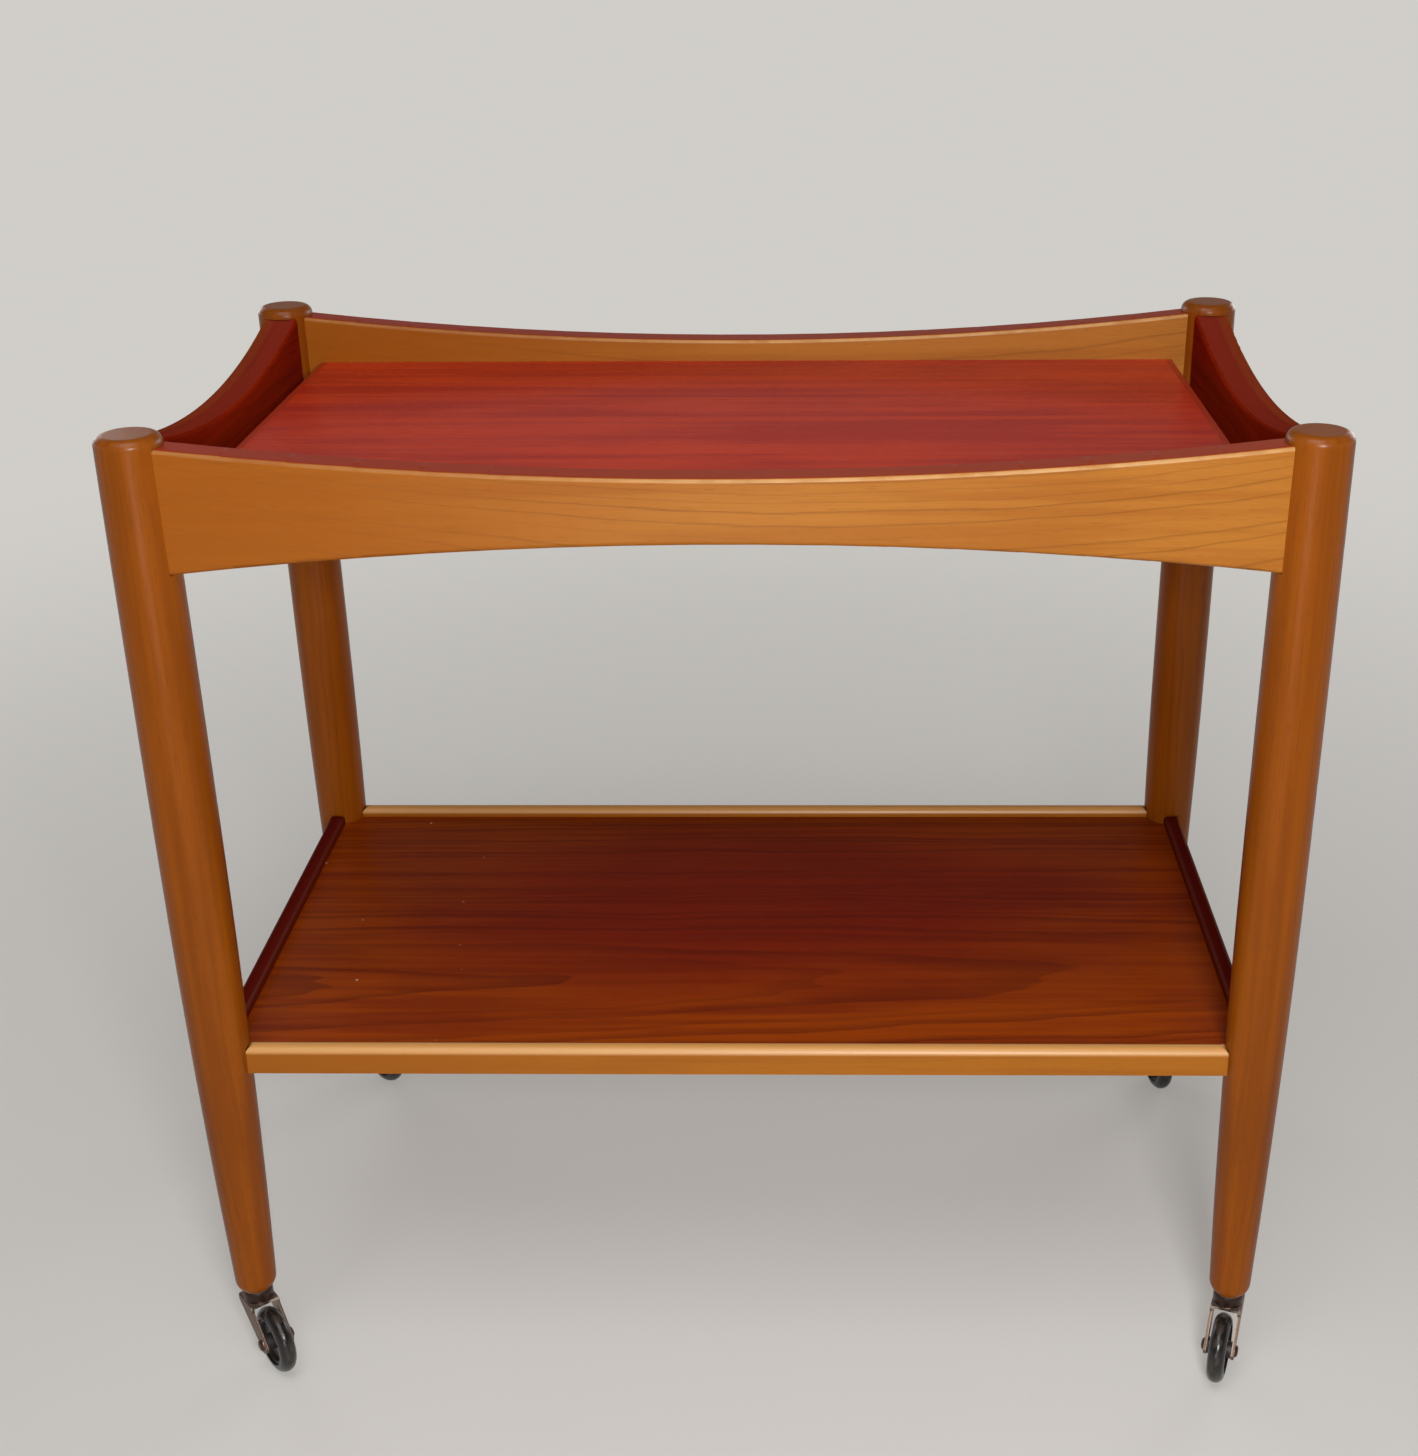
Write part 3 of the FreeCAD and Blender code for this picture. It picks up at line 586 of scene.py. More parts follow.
@dataclass(frozen=True)
class WoodFinish:
    """Lacquered wood with rings, streaks, fibres and pores that run through the solid.

    Attributes:
        ring_pitch, ring_width, ring_weight: Spacing, share and strength of the growth rings.
        wander: How far the rings stray.
        band: Width of a streak.
        polish, polish_rough: Clear coat on the eased edges.
        painted_top_light, painted_top_lift: Painted reflection on the level top (a painted highlight
            on the shelf rails), and how level it has to be.
        sag, easing: Depth of a tray rail's hollow top edge, and the radius of its edges.
        outer: The wood's own colour on the side that faces away from the trolley, where the ground
            holds painted shade.
    """

    name: str
    cut: Cut
    ground: Rgb
    streak: Rgb
    ring: Rgb
    pore: Rgb
    ring_pitch: float
    ring_width: float
    ring_weight: float
    streak_weight: float
    wander: float
    rough: float
    specular: float = 0.12
    band: float = 8.5
    polish: float = 0.30
    polish_rough: float = 0.25
    painted_top_light: Rgb | None = None
    painted_top_lift: Range = (0.86, 0.94)
    sag: float = 0.0
    easing: float = 3.0
    warm: Warmth | None = None
    painted_edge_highlight: PaintedEdgeHighlight | None = None
    dust: Dust | None = None
    outer: Rgb | None = None

    def ring_lines(self, board: Board) -> Wire:
        """Draws the growth rings, which a long rail hardly shows at its left end.

        Args:
            board: The wood being finished.

        Returns:
            1 on the dark late wood of a strong year, 0 between the rings.
        """
        stray = (WOOD.warp.read(board) - 0.5) * self.wander
        curl = (WOOD.curl.read(board) - 0.5) * WOOD.curl_swing
        heart = HEARTS[self.cut].distance(board) + stray + curl
        uneven = board.noise((heart / WOOD.crowding, *WOOD.crowding_layer), 1.0)
        rings = heart / self.ring_pitch + uneven * WOOD.crowded_rings
        phase = rings.fraction()
        rise = board.step(phase, WOOD.late_peak - self.ring_width, WOOD.late_peak)
        late = rise * (1.0 - board.step(phase, *WOOD.late_fall))
        year = board.noise((math.floor(rings) * WOOD.year_stride, 0.5, 0.5), 0.0)
        line = late * board.step(year, *WOOD.strong_years)
        if self.cut is not Cut.LONG_RAIL:
            return line
        shown = board.step(board.along, *WOOD.plain_end)
        return line * (shown * (1.0 - WOOD.plain_share) + WOOD.plain_share)

    def ground_colours(self, board: Board) -> tuple[Wire | Rgb, Wire | Rgb]:
        """Mixes the plain wood, which may be warmer in part; where an outer colour is given, the
        ground holds painted shade and the outside keeps the wood's own colour.

        Args:
            board: The wood being finished.

        Returns:
            Colours of the ground and of its streaks.
        """
        ground: Wire | Rgb = self.ground
        streak: Wire | Rgb = self.streak
        if self.warm is not None:
            ground = board.blend(self.warm.share(board), ground, self.warm.colour)
        # The outside keeps the wood's own colour; the ground inside is painted shade.
        if self.outer is not None:
            outside = board.step(board.into, *WOOD.outer_side)
            ground = board.blend(outside, ground, self.outer)
            streak = board.blend(outside, streak, tinted(self.outer, WOOD.outer_streak))
        return ground, streak

    def top_turn(self, board: Board, plan: Plan) -> Wire:
        """Finds how far the surface turns up.

        Args:
            board: The wood being finished.
            plan: Main lines of the trolley.

        Returns:
            0 on a side, 1 on a level top, worked out from the hollow top edge where there is one.
        """
        if not self.sag:
            return board.split(board.node("ShaderNodeNewGeometry", output="Normal"))[2]
        out = board.along / board.half
        edge = out * out * self.sag + (plan.rail_top - self.sag - self.easing)
        return ((board.across - edge) / self.easing).clamp()

    def facing(self, board: Board, turn: Wire) -> Wire | None:
        """Way that a tray rail faces round its eased top edge, smoother than its thin faces give.

        Args:
            board: The wood being finished.
            turn: How far the surface turns up.

        Returns:
            The direction, or None for a piece with no hollow top edge.
        """
        if not self.sag:
            return None
        aside = (board.aside * board.into).sign() * (1.0 - turn * turn) ** 0.5
        lean = board.along * turn * (-2.0 * self.sag / board.half ** 2)
        level = (lean, aside) if self.cut is Cut.LONG_RAIL else (aside, lean)
        made = board.node("ShaderNodeCombineXYZ", inputs=dict(enumerate((*level, turn))))
        plain = board.node("ShaderNodeNewGeometry", output="Normal")
        mixed = {0: board.step(turn, 0.0, WOOD.turn_start), 4: plain, 5: made}
        return board.node("ShaderNodeMix", {"data_type": "VECTOR"}, mixed, 1)

    def material(self, plan: Plan) -> bpy.types.Material:
        """Builds the finish.

        Args:
            plan: Main lines of the trolley.

        Returns:
            The material.
        """
        board = Board(self.name, self.cut, plan)
        line = self.ring_lines(board)
        flow = Grain(WOOD.flow_length, self.band, 3.0, 0.55).read(board)
        cloud = (WOOD.cloud.read(board) - 0.5) * WOOD.cloud_weight
        fibre = WOOD.fibre.read(board)
        pores = board.step(WOOD.pore.read(board), *WOOD.pores)
        ground, streak = self.ground_colours(board)
        streaks = board.step(flow + cloud, *WOOD.streaks) * self.streak_weight
        colour = board.blend(streaks, ground, streak)
        fibres = board.step(fibre, *WOOD.fibres) * WOOD.fibre_weight
        colour = board.blend(fibres, colour, streak)
        colour = board.blend(line * self.ring_weight, colour, self.ring)
        colour = board.blend(pores * WOOD.pore_weight, colour, self.pore)
        roughness = fibre * 0.06 + pores * 0.10 + WOOD.handling.read(board) * 0.10
        roughness = roughness + (self.rough - WOOD.mean_roughness)
        relief = fibre * 0.45 - pores * 0.7 - line * 0.25 + 0.7
        if self.dust is not None:
            specks = self.dust.specks(board)
            colour = board.blend(specks * self.dust.weight, colour, self.dust.colour)
            roughness = roughness + specks * self.dust.roughness
        turn = self.top_turn(board, plan)
        eased = board.step(turn, *WOOD.eased_from) * (1.0 - board.step(turn, *WOOD.eased_to))
        # Pale patchy line along the eased edge: a painted highlight.
        if self.painted_edge_highlight is not None:
            colour = board.blend(eased * self.painted_edge_highlight.share(board), colour, self.painted_edge_highlight.colour)
        # Level tops take painted light: a painted reflection of red, and on the shelf rails a painted
        # highlight.
        if self.painted_top_light is not None:
            level = board.step(turn, *self.painted_top_lift) * WOOD.painted_top_weight
            colour = board.blend(level, colour, self.painted_top_light)
        return board.finish(
            colour, roughness, relief, WOOD.relief_depth,
            {"Specular IOR Level": self.specular, "Coat Roughness": self.polish_rough},
            coat=eased * self.polish,
            facing=self.facing(board, turn),
        )


@dataclass(frozen=True)
class ForkHighlightPlace:
    """Where a turned fork gets bright metal painted in: a painted highlight along the front edge of
    its crown, and fainter painted light on its inner sides.

    Lengths are in millimetres, apart from the centre.
    """

    centre: Vector
    heading: float
    inner_half: float
    outer_half: float
    crown_rise: float
    crown_front: float
    inside_share: float = 0.30
    wall_margin: float = 0.3
    crown_start: Range = (-3.2, -2.2)
    front_start: Range = (-2.2, -1.0)

    def mask(self, shader: Shader) -> Wire:
        """Finds the places of painted highlight and painted light.

        Args:
            shader: The finish being made.

        Returns:
            1 along the front edge of the crown, less on the inner sides, 0 on the outer faces.
        """
        along, side, rise = shader.split(shader.local_place(self.centre, self.heading))
        walls = (self.inner_half + self.wall_margin, self.outer_half - self.wall_margin)
        inside = (1.0 - shader.step(abs(side), *walls)) * self.inside_share
        crown = shader.step(rise, *(self.crown_rise + start for start in self.crown_start))
        front = shader.step(along, *(self.crown_front + start for start in self.front_start))
        return inside.most(crown * front)


@dataclass(frozen=True)
class MetalFinish:
    """Metal with a dark skin that is worn through to bright metal on its edges, with bright metal
    also painted in as highlight where a place for it is given. Sizes in millimetres.
    """

    name: str
    skin: Rgb
    bare: Rgb
    skin_rough: float
    bare_rough: float
    skin_metal: float
    edge_radius: float
    edge_weight: float = 1.0
    patch_size: float = 5.0
    scratch_size: Range = (0.9, 6.0)
    speck_size: float = 0.7
    edge_patches: Range = (0.36, 0.56)
    place_patches: Range = (0.18, 0.42)
    dark_patches: Range = (0.3, 0.75)
    specks: Range = (0.62, 0.8)
    relief_depth: float = 0.00005
    specular: float = 0.5

    def material(self, highlight_place: ForkHighlightPlace | None = None) -> bpy.types.Material:
        """Builds the finish.

        Args:
            highlight_place: Where bright metal is painted in as highlight and lit sides, besides its
                worn edges.

        Returns:
            The material.
        """
        shader = Shader(self.name)
        x, y, z = spot = shader.split(shader.place())
        wide, long = self.scratch_size
        patches = shader.noise(tuple(part / self.patch_size for part in spot), 4.0, 0.62)
        scratch = shader.noise((x / wide, y / wide, z / long), 3.0, 0.6)
        speck = shader.noise(tuple(part / self.speck_size for part in spot), 2.0)
        edges = shader.edge(self.edge_radius) * shader.step(patches, *self.edge_patches)
        bare = edges * self.edge_weight
        # Bright metal at the painted highlight places, over the worn edges.
        if highlight_place is not None:
            bare = bare.most(highlight_place.mask(shader) * shader.step(patches, *self.place_patches))
        bare = bare * (scratch * 0.4 + 0.72)
        dark = shader.step(patches, *self.dark_patches) * 0.6
        skin = shader.blend(dark, self.skin, tinted(self.skin, 0.5))
        colour = shader.blend(bare, skin, self.bare)
        specks = shader.step(speck, *self.specks) * 0.3
        colour = shader.blend(specks, colour, tinted(self.skin, 0.35))
        rough = bare * (self.bare_rough - self.skin_rough) + self.skin_rough
        roughness = rough + (scratch - 0.5) * 0.16
        metal = bare * (1.0 - self.skin_metal) + self.skin_metal
        relief = scratch * 0.35 + patches * 0.45 + speck * 0.2
        fixed = {"Specular IOR Level": self.specular}
        return shader.finish(colour, roughness, relief, self.relief_depth, fixed, metal)


@dataclass(frozen=True)
class MouldedFinish:
    """Rubber or plastic of a wheel, with mould rings, scuffs and dust. Sizes in millimetres."""

    name: str
    ground: Rgb
    scuff: Rgb
    rough: float
    tread_radius: float
    ring_pitch: float
    grain_size: float = 0.8
    cloud_size: Range = (9.0, 4.0)
    ring_edge: Range = (0.30, 0.48)
    tread_start: Range = (-1.6, -0.1)
    scuffs: Range = (0.42, 0.66)
    specks: Range = (0.66, 0.8)
    relief_depth: float = 0.00006
    specular: float = 0.5

    def material(self, centre: Vector, heading: float) -> bpy.types.Material:
        """Builds the finish for one wheel.

        Args:
            centre: Middle of its axle, in metres.
            heading: Turn of the wheel about the upright, in radians.

        Returns:
            The material.
        """
        shader = Shader(self.name)
        x, side, z = spot = shader.split(shader.local_place(centre, heading))
        radius = x.hypot(z)
        round_size, side_size = self.cloud_size
        grain = shader.noise(tuple(part / self.grain_size for part in spot), 3.0, 0.6)
        cloud = shader.noise((x / round_size, side / side_size, z / round_size), 3.0, 0.55)
        middle = abs((radius / self.ring_pitch).fraction() - 0.5)
        rings = shader.step(middle, *self.ring_edge)
        tread = shader.step(radius, *(self.tread_radius + start for start in self.tread_start))
        scuffed = tread * shader.step(cloud, *self.scuffs) * 0.55
        scuffed = scuffed + shader.step(grain, *self.specks) * 0.35
        colour = shader.blend(scuffed, self.ground, self.scuff)
        colour = shader.blend(rings * 0.25, colour, tinted(self.ground, 0.5))
        roughness = scuffed * 0.28 + (cloud - 0.5) * 0.14 + self.rough
        relief = grain * 0.35 + rings * 0.5 + (1.0 - scuffed) * 0.15
        fixed = {"Specular IOR Level": self.specular}
        return shader.finish(colour, roughness, relief, self.relief_depth, fixed)


# Painted reflection: the level leg tops take a slightly greyer colour.
HONEY_LEG = WoodFinish(
    name="honey_leg_wood", cut=Cut.LEG,
    ground=srgb(146, 75, 7), streak=srgb(116, 54, 4), ring=srgb(92, 38, 4), pore=srgb(80, 32, 4),
    ring_pitch=3.6, ring_width=0.45, ring_weight=0.26, streak_weight=0.55, wander=9.0,
    rough=0.32, specular=0.13, polish=0.35, polish_rough=0.32, painted_top_light=srgb(140, 74, 20),
)
# Painted light on this rail: its ground turns paler and warmer towards the right for the brighter
# light there, its level top carries a painted reflection of red, and its eased top edge a painted
# highlight.
HONEY_LONG_RAIL = WoodFinish(
    name="honey_long_rail_wood", cut=Cut.LONG_RAIL,
    ground=srgb(156, 85, 12), streak=srgb(148, 78, 10), ring=srgb(106, 55, 10),
    pore=srgb(108, 55, 10), ring_pitch=5.6, ring_width=0.20, ring_weight=0.42,
    streak_weight=0.45, wander=9.0, rough=0.40, specular=0.20, polish=0.0,
    painted_top_light=srgb(158, 40, 25), sag=18.6, warm=Warmth(srgb(176, 111, 37), (-300.0, 60.0)),
    painted_edge_highlight=PaintedEdgeHighlight(srgb(232, 188, 128)),
)
# Painted highlight on this rail: the pale colour on its rounded top.
HONEY_SHELF_RAIL = WoodFinish(
    name="honey_shelf_rail_wood", cut=Cut.LONG_RAIL,
    ground=srgb(156, 88, 14), streak=srgb(146, 79, 12), ring=srgb(120, 64, 12),
    pore=srgb(112, 60, 12), ring_pitch=7.0, ring_width=0.30, ring_weight=0.16,
    streak_weight=0.45, wander=9.0, rough=0.40, specular=0.20, polish=0.80, polish_rough=0.38,
    painted_top_light=srgb(216, 160, 92), painted_top_lift=(0.02, 0.55),
    warm=Warmth(srgb(168, 101, 22), (-300.0, 100.0)),
)
# Painted shade: the dark red ground stands for the shaded inner faces, tinted by red bounce light;
# the outside keeps the honey wood's own colour, and the level top carries a painted reflection of
# red.
SIDE_RAIL_PAINTED_SHADE = WoodFinish(
    name="side_rail_wood_painted_inner_shade", cut=Cut.SIDE_RAIL,
    ground=srgb(140, 34, 8), streak=srgb(112, 24, 6), ring=srgb(86, 18, 5), pore=srgb(76, 18, 5),
    ring_pitch=6.0, ring_width=0.30, ring_weight=0.40, streak_weight=0.60, wander=10.0,
    rough=0.42, specular=0.0, polish=0.0, painted_top_light=srgb(138, 46, 32), sag=20.5,
    outer=srgb(162, 90, 20),
)
# Painted shade: the dark red ground stands for the shaded inner faces; the outside keeps the wood's
# own colour, and the rounded top carries a darker painted reflection of red.
SHELF_SLAT_PAINTED_SHADE = WoodFinish(
    name="shelf_slat_wood_painted_inner_shade", cut=Cut.SIDE_RAIL,
    ground=srgb(98, 30, 10), streak=srgb(82, 23, 8), ring=srgb(68, 18, 6), pore=srgb(60, 16, 6),
    ring_pitch=5.0, ring_width=0.30, ring_weight=0.35, streak_weight=0.60, wander=8.0,
    rough=0.42, specular=0.0, polish=0.08, painted_top_light=srgb(88, 18, 13), painted_top_lift=(0.40, 0.80),
    outer=srgb(156, 86, 18),
)
RED_TRAY = WoodFinish(
    name="red_brown_tray_veneer", cut=Cut.QUARTERED,
    ground=srgb(207, 61, 28), streak=srgb(172, 38, 26), ring=srgb(138, 30, 18),
    pore=srgb(126, 28, 14), ring_pitch=6.5, ring_width=0.45, ring_weight=0.32,
    streak_weight=0.80, wander=12.0, rough=0.26, specular=0.08, band=13.0,
)
RED_LIPPING = WoodFinish(
    name="red_brown_lipping_wood", cut=Cut.CROSS_STRIP,
    ground=srgb(190, 64, 28), streak=srgb(164, 46, 22), ring=srgb(126, 34, 14),
    pore=srgb(104, 28, 12), ring_pitch=2.4, ring_width=0.45, ring_weight=0.35,
    streak_weight=0.70, wander=5.0, rough=0.32, specular=0.08,
)
FLAME_SHELF = WoodFinish(
    name="flame_shelf_veneer", cut=Cut.FLAME,
    ground=srgb(132, 36, 10), streak=srgb(112, 30, 8), ring=srgb(70, 13, 8), pore=srgb(80, 18, 7),
    ring_pitch=7.0, ring_width=0.75, ring_weight=0.42, streak_weight=0.55, wander=18.0,
    rough=0.30, specular=0.06, band=11.0, dust=Dust(),
    warm=Warmth(srgb(156, 66, 3), (50.0, 190.0), swing=90.0, middle=(30.0, 26.0)),
)
PLAIN_BATTEN = WoodFinish(
    name="plain_batten_wood", cut=Cut.QUARTERED,
    ground=srgb(198, 152, 104), streak=srgb(176, 126, 78), ring=srgb(146, 98, 54),
    pore=srgb(120, 78, 42), ring_pitch=3.0, ring_width=0.45, ring_weight=0.35,
    streak_weight=0.60, wander=6.0, rough=0.60, specular=0.20,
)
BRONZED_COLLAR = MetalFinish(
    name="bronzed_collar_metal", skin=srgb(58, 38, 30), bare=srgb(140, 112, 92),
    skin_rough=0.36, bare_rough=0.28, skin_metal=0.55, edge_radius=0.6,
)
BRONZED_FORK = MetalFinish(
    name="bronzed_fork_metal", skin=srgb(104, 77, 62), bare=srgb(204, 186, 170),
    skin_rough=0.40, bare_rough=0.26, skin_metal=0.55, edge_radius=0.6, edge_weight=0.40,
)
TARNISHED_AXLE = MetalFinish(
    name="tarnished_axle_metal", skin=srgb(84, 60, 48), bare=srgb(180, 164, 150),
    skin_rough=0.40, bare_rough=0.28, skin_metal=0.70, edge_radius=0.8,
)
PLAIN_SOCKET = MetalFinish(
    name="plain_socket_metal", skin=srgb(120, 112, 104), bare=srgb(196, 190, 184),
    skin_rough=0.42, bare_rough=0.30, skin_metal=0.90, edge_radius=0.4,
)
DULL_BRASS = MetalFinish(
    name="dull_brass_screw", skin=srgb(150, 112, 58), bare=srgb(226, 188, 112),
    skin_rough=0.40, bare_rough=0.26, skin_metal=0.95, edge_radius=0.4,
)
BLACK_TYRE = MouldedFinish(
    name="black_tyre_rubber", ground=srgb(28, 24, 22), scuff=srgb(76, 63, 54),
    rough=0.25, tread_radius=24.5, ring_pitch=1.9,
)
DARK_WHEEL = MouldedFinish(
    name="dark_wheel_plastic", ground=srgb(46, 41, 39), scuff=srgb(92, 82, 74),
    rough=0.36, tread_radius=40.0, ring_pitch=2.6,
)


class Corner(Enum):
    """The four corners of the trolley, by the names that its CAD nodes use."""

    FRONT_LEFT = "front_left"
    FRONT_RIGHT = "front_right"
    REAR_LEFT = "rear_left"
    REAR_RIGHT = "rear_right"


def dress(frame: dict, material: bpy.types.Material, nodes: Iterable[str]) -> None:
    """Gives CAD nodes their finish.

    Args:
        material: The finish.
        nodes: Names of the nodes.
    """
    for name in nodes:
        mesh = frame["nodes"][name].data
        mesh.materials.clear()
        mesh.materials.append(material)
        LOG.info("%s wears %s", name, material.name)


@dataclass(frozen=True)
class Carcass:
    """Everything made of wood: legs, rails, panels, cleats and dowels."""

    plan: Plan
    long_sides: tuple[str, ...] = ("front", "rear")
    short_sides: tuple[str, ...] = ("left", "right")

    def dress(self, frame: dict) -> None:
        """Gives each wooden node the finish of its cut.
        """
        dowels = ["top_rail_dowels", "shelf_rail_dowels"]
        finishes = (
            (HONEY_LEG, [f"leg_{corner.value}" for corner in Corner]),
            (HONEY_LONG_RAIL, [f"top_rail_{side}" for side in self.long_sides]),
            (HONEY_SHELF_RAIL, [f"shelf_rail_{side}" for side in self.long_sides]),
            (SIDE_RAIL_PAINTED_SHADE, [f"top_rail_{side}" for side in self.short_sides]),
            (SHELF_SLAT_PAINTED_SHADE, [f"shelf_rail_{side}" for side in self.short_sides]),
            (RED_TRAY, ["top_panel"]),
            (RED_LIPPING, [f"top_panel_lipping_{side}" for side in self.short_sides]),
            (FLAME_SHELF, ["shelf_panel"]),
            (PLAIN_BATTEN, [f"cleat_{side}" for side in self.long_sides] + dowels),
        )
        for finish, nodes in finishes:
            dress(frame, finish.material(self.plan), nodes)


@dataclass(frozen=True)
class Caster:
    """One swivel caster, whose finishes are centred on its own axle and turned with it.

    The sizes are its fork's, in millimetres: the plate, the width over both cheeks, the height of
    the crown, the crown's front edge ahead of the stem, and the trail of the axle.
    """

    corner: Corner
    fork_plate: float = 2.0
    fork_width: float = 21.4
    crown_height: float = 50.6
    crown_front: float = 11.2
    trail: float = 22.0

    def node(self, piece: str) -> str:
        """Name of the CAD node of one of its pieces."""
        return f"caster_{piece}_{self.corner.value}"

    def dress(self, frame: dict) -> None:
        """Gives its pieces their finishes.
        """
        axle = sum(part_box(self.node("axle")), Vector()) / 2
        pivot = sum(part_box(self.node("socket")), Vector()) / 2
        heading = math.atan2(axle.y - pivot.y, axle.x - pivot.x)
        half = self.fork_width / 2
        # Places of the fork's painted highlight and painted light.
        worn = ForkHighlightPlace(
            axle, heading,
            inner_half=half - self.fork_plate,
            outer_half=half,
            crown_rise=self.crown_height - axle.z * MM,
            crown_front=self.crown_front - self.trail,
        )
        dress(frame, PLAIN_SOCKET.material(), [self.node("socket")])
        dress(frame, BRONZED_COLLAR.material(), [self.node("stem")])
        dress(frame, BRONZED_FORK.material(worn), [self.node("fork")])
        dress(frame, TARNISHED_AXLE.material(), [self.node("axle")])
        dress(frame, DARK_WHEEL.material(axle, heading), [self.node("wheel")])
        dress(frame, BLACK_TYRE.material(axle, heading), [self.node("tyre")])


class HeadsFace(Enum):
    """The way that the heads of a row of screws face, as a turn about the length of the trolley."""

    REAR = -math.pi / 2
    FRONT = math.pi / 2
    FLOOR = math.pi


@dataclass(frozen=True)
class ScrewRow:
    """A row of slotted round-head wood screws in the place of a CAD node. Lengths in metres."""

    node: str
    count: int
    heads: HeadsFace
    seed: int
    head_radius: float = 0.0038
    head_height: float = 0.0024
    rim_height: float = 0.0005
    shank_radius: float = 0.00175
    tip_length: float = 0.0025
    thread_pitch: float = 0.0016
    thread_depth: float = 0.0004
    slot_width: float = 0.0010
    slot_floor: float = 0.0011
    sides: int = 28
    steps_per_pitch: int = 5
    dome_angles: tuple[int, ...] = (0, 18, 36, 54, 72)

    def shank_reach(self, turn: float, depth: float, length: float) -> float:
        """Radius of the threaded shank.

        Args:
            turn: Place round the shank, in radians.
            depth: Distance below the head.
            length: Length of the shank.

        Returns:
            The radius there.
        """
        phase = (depth / self.thread_pitch + turn / math.tau) % 1.0
        crest = max(0.0, 1.0 - abs(phase - 0.5) * 4.0) if depth > self.thread_pitch else 1.0
        taper = min(1.0, (length - depth) / self.tip_length)
        return (self.shank_radius - self.thread_depth * (1.0 - crest)) * taper

    def rings(self, length: float) -> list[list[Vector]]:
        """Rings of points from the tip up to the dome, with the head's seat at height zero.

        Args:
            length: Length of the shank.

        Returns:
            The rings, each with one point for each side.
        """
        turns = [math.tau * side / self.sides for side in range(self.sides)]
        count = round(length / self.thread_pitch * self.steps_per_pitch)
        made = []
        for step in range(count - 1, -1, -1):
            depth = length * step / count
            reaches = [self.shank_reach(turn, depth, length) for turn in turns]
            made.append([self.point(turn, reach, -depth) for turn, reach in zip(turns, reaches)])
        dome = self.head_height - self.rim_height
        outline = [(self.head_radius, 0.0)]
        outline += [
            (self.head_radius * math.cos(lift), self.rim_height + dome * math.sin(lift))
            for lift in map(math.radians, self.dome_angles)
        ]
        made += [[self.point(turn, radius, rise) for turn in turns] for radius, rise in outline]
        return made

    @staticmethod
    def point(turn: float, radius: float, rise: float) -> Vector:
        """Point at a turn, a radius and a height."""
        return Vector((radius * math.cos(turn), radius * math.sin(turn), rise))

    def screw_mesh(self, length: float) -> bpy.types.Mesh:
        """Builds one screw that stands on its point.

        Args:
            length: Length of the shank.

        Returns:
            The mesh.
        """
        form = bmesh.new()
        loops = [[form.verts.new(point) for point in ring] for ring in self.rings(length)]
        for lower, upper in zip(loops, loops[1:]):
            for side in range(self.sides):
                after = (side + 1) % self.sides
                form.faces.new((lower[side], lower[after], upper[after], upper[side]))
        tip = form.verts.new((0.0, 0.0, -length))
        top = form.verts.new((0.0, 0.0, self.head_height))
        for side in range(self.sides):
            after = (side + 1) % self.sides
            form.faces.new((loops[0][after], loops[0][side], tip))
            form.faces.new((loops[-1][side], loops[-1][after], top))
        self.cut_slot(form)
        bmesh.ops.remove_doubles(form, verts=form.verts, dist=1e-7)
        bmesh.ops.recalc_face_normals(form, faces=form.faces)
        mesh = bpy.data.meshes.new(self.node)
        form.to_mesh(mesh)
        form.free()
        mesh.shade_smooth()
        mesh.set_sharp_from_angle(angle=SHARP_ANGLE)
        return mesh

    def cut_slot(self, form: bmesh.types.BMesh) -> None:
        """Sinks a straight slot into the dome.

        Args:
            form: The screw, with its head's seat at height zero.
        """
        half = self.slot_width / 2
        for side in (-half, half):
            dome = [face for face in form.faces if face.calc_center_median().z > self.rim_height]
            edges = {edge for face in dome for edge in face.edges}
            corners = {corner for face in dome for corner in face.verts}
            bmesh.ops.bisect_plane(
                form, geom=[*dome, *edges, *corners], dist=1e-8,
                plane_co=(side, 0.0, 0.0), plane_no=(1.0, 0.0, 0.0),
            )
        middles = [(face, face.calc_center_median()) for face in form.faces]
        strip = [
            face for face, middle in middles if middle.z > self.rim_height and abs(middle.x) < half
        ]
        sunk = bmesh.ops.extrude_face_region(form, geom=strip)
        for item in sunk["geom"]:
            if isinstance(item, bmesh.types.BMVert):
                item.co.z = min(item.co.z, self.slot_floor)

    @staticmethod
    def tree() -> bpy.types.NodeTree:
        """Makes the node tree that sets screws in a row, each turned at random about its own axis.

        Returns:
            The tree, which all the rows share.
        """
        made = bpy.data.node_groups.get("screw_row")
        if made is not None:
            return made
        made = bpy.data.node_groups.new("screw_row", "GeometryNodeTree")
        wanted = {
            "Geometry": "NodeSocketGeometry", "Count": "NodeSocketInt", "Pitch": "NodeSocketFloat",
            "First": "NodeSocketVector", "Turn": "NodeSocketFloat", "Seed": "NodeSocketInt",
            "Finish": "NodeSocketMaterial",
        }
        for name, kind in wanted.items():
            made.interface.new_socket(name=name, in_out="INPUT", socket_type=kind)
        made.interface.new_socket(
            name="Geometry", in_out="OUTPUT", socket_type=wanted["Geometry"]
        )
        graph = Graph(made)
        given = graph.node("NodeGroupInput")
        step = graph.node("ShaderNodeCombineXYZ", inputs={"X": given.out("Pitch")})
        line = graph.node(
            "GeometryNodeMeshLine",
            {"mode": "OFFSET"},
            {"Count": given.out("Count"), "Start Location": given.out("First"), "Offset": step},
        )
        roll = graph.node(
            "FunctionNodeRandomValue",
            {"data_type": "FLOAT"},
            {2: -math.pi, 3: math.pi, "Seed": given.out("Seed")},
            1,
        )
        lean = graph.node("ShaderNodeCombineXYZ", inputs={"X": given.out("Turn")})
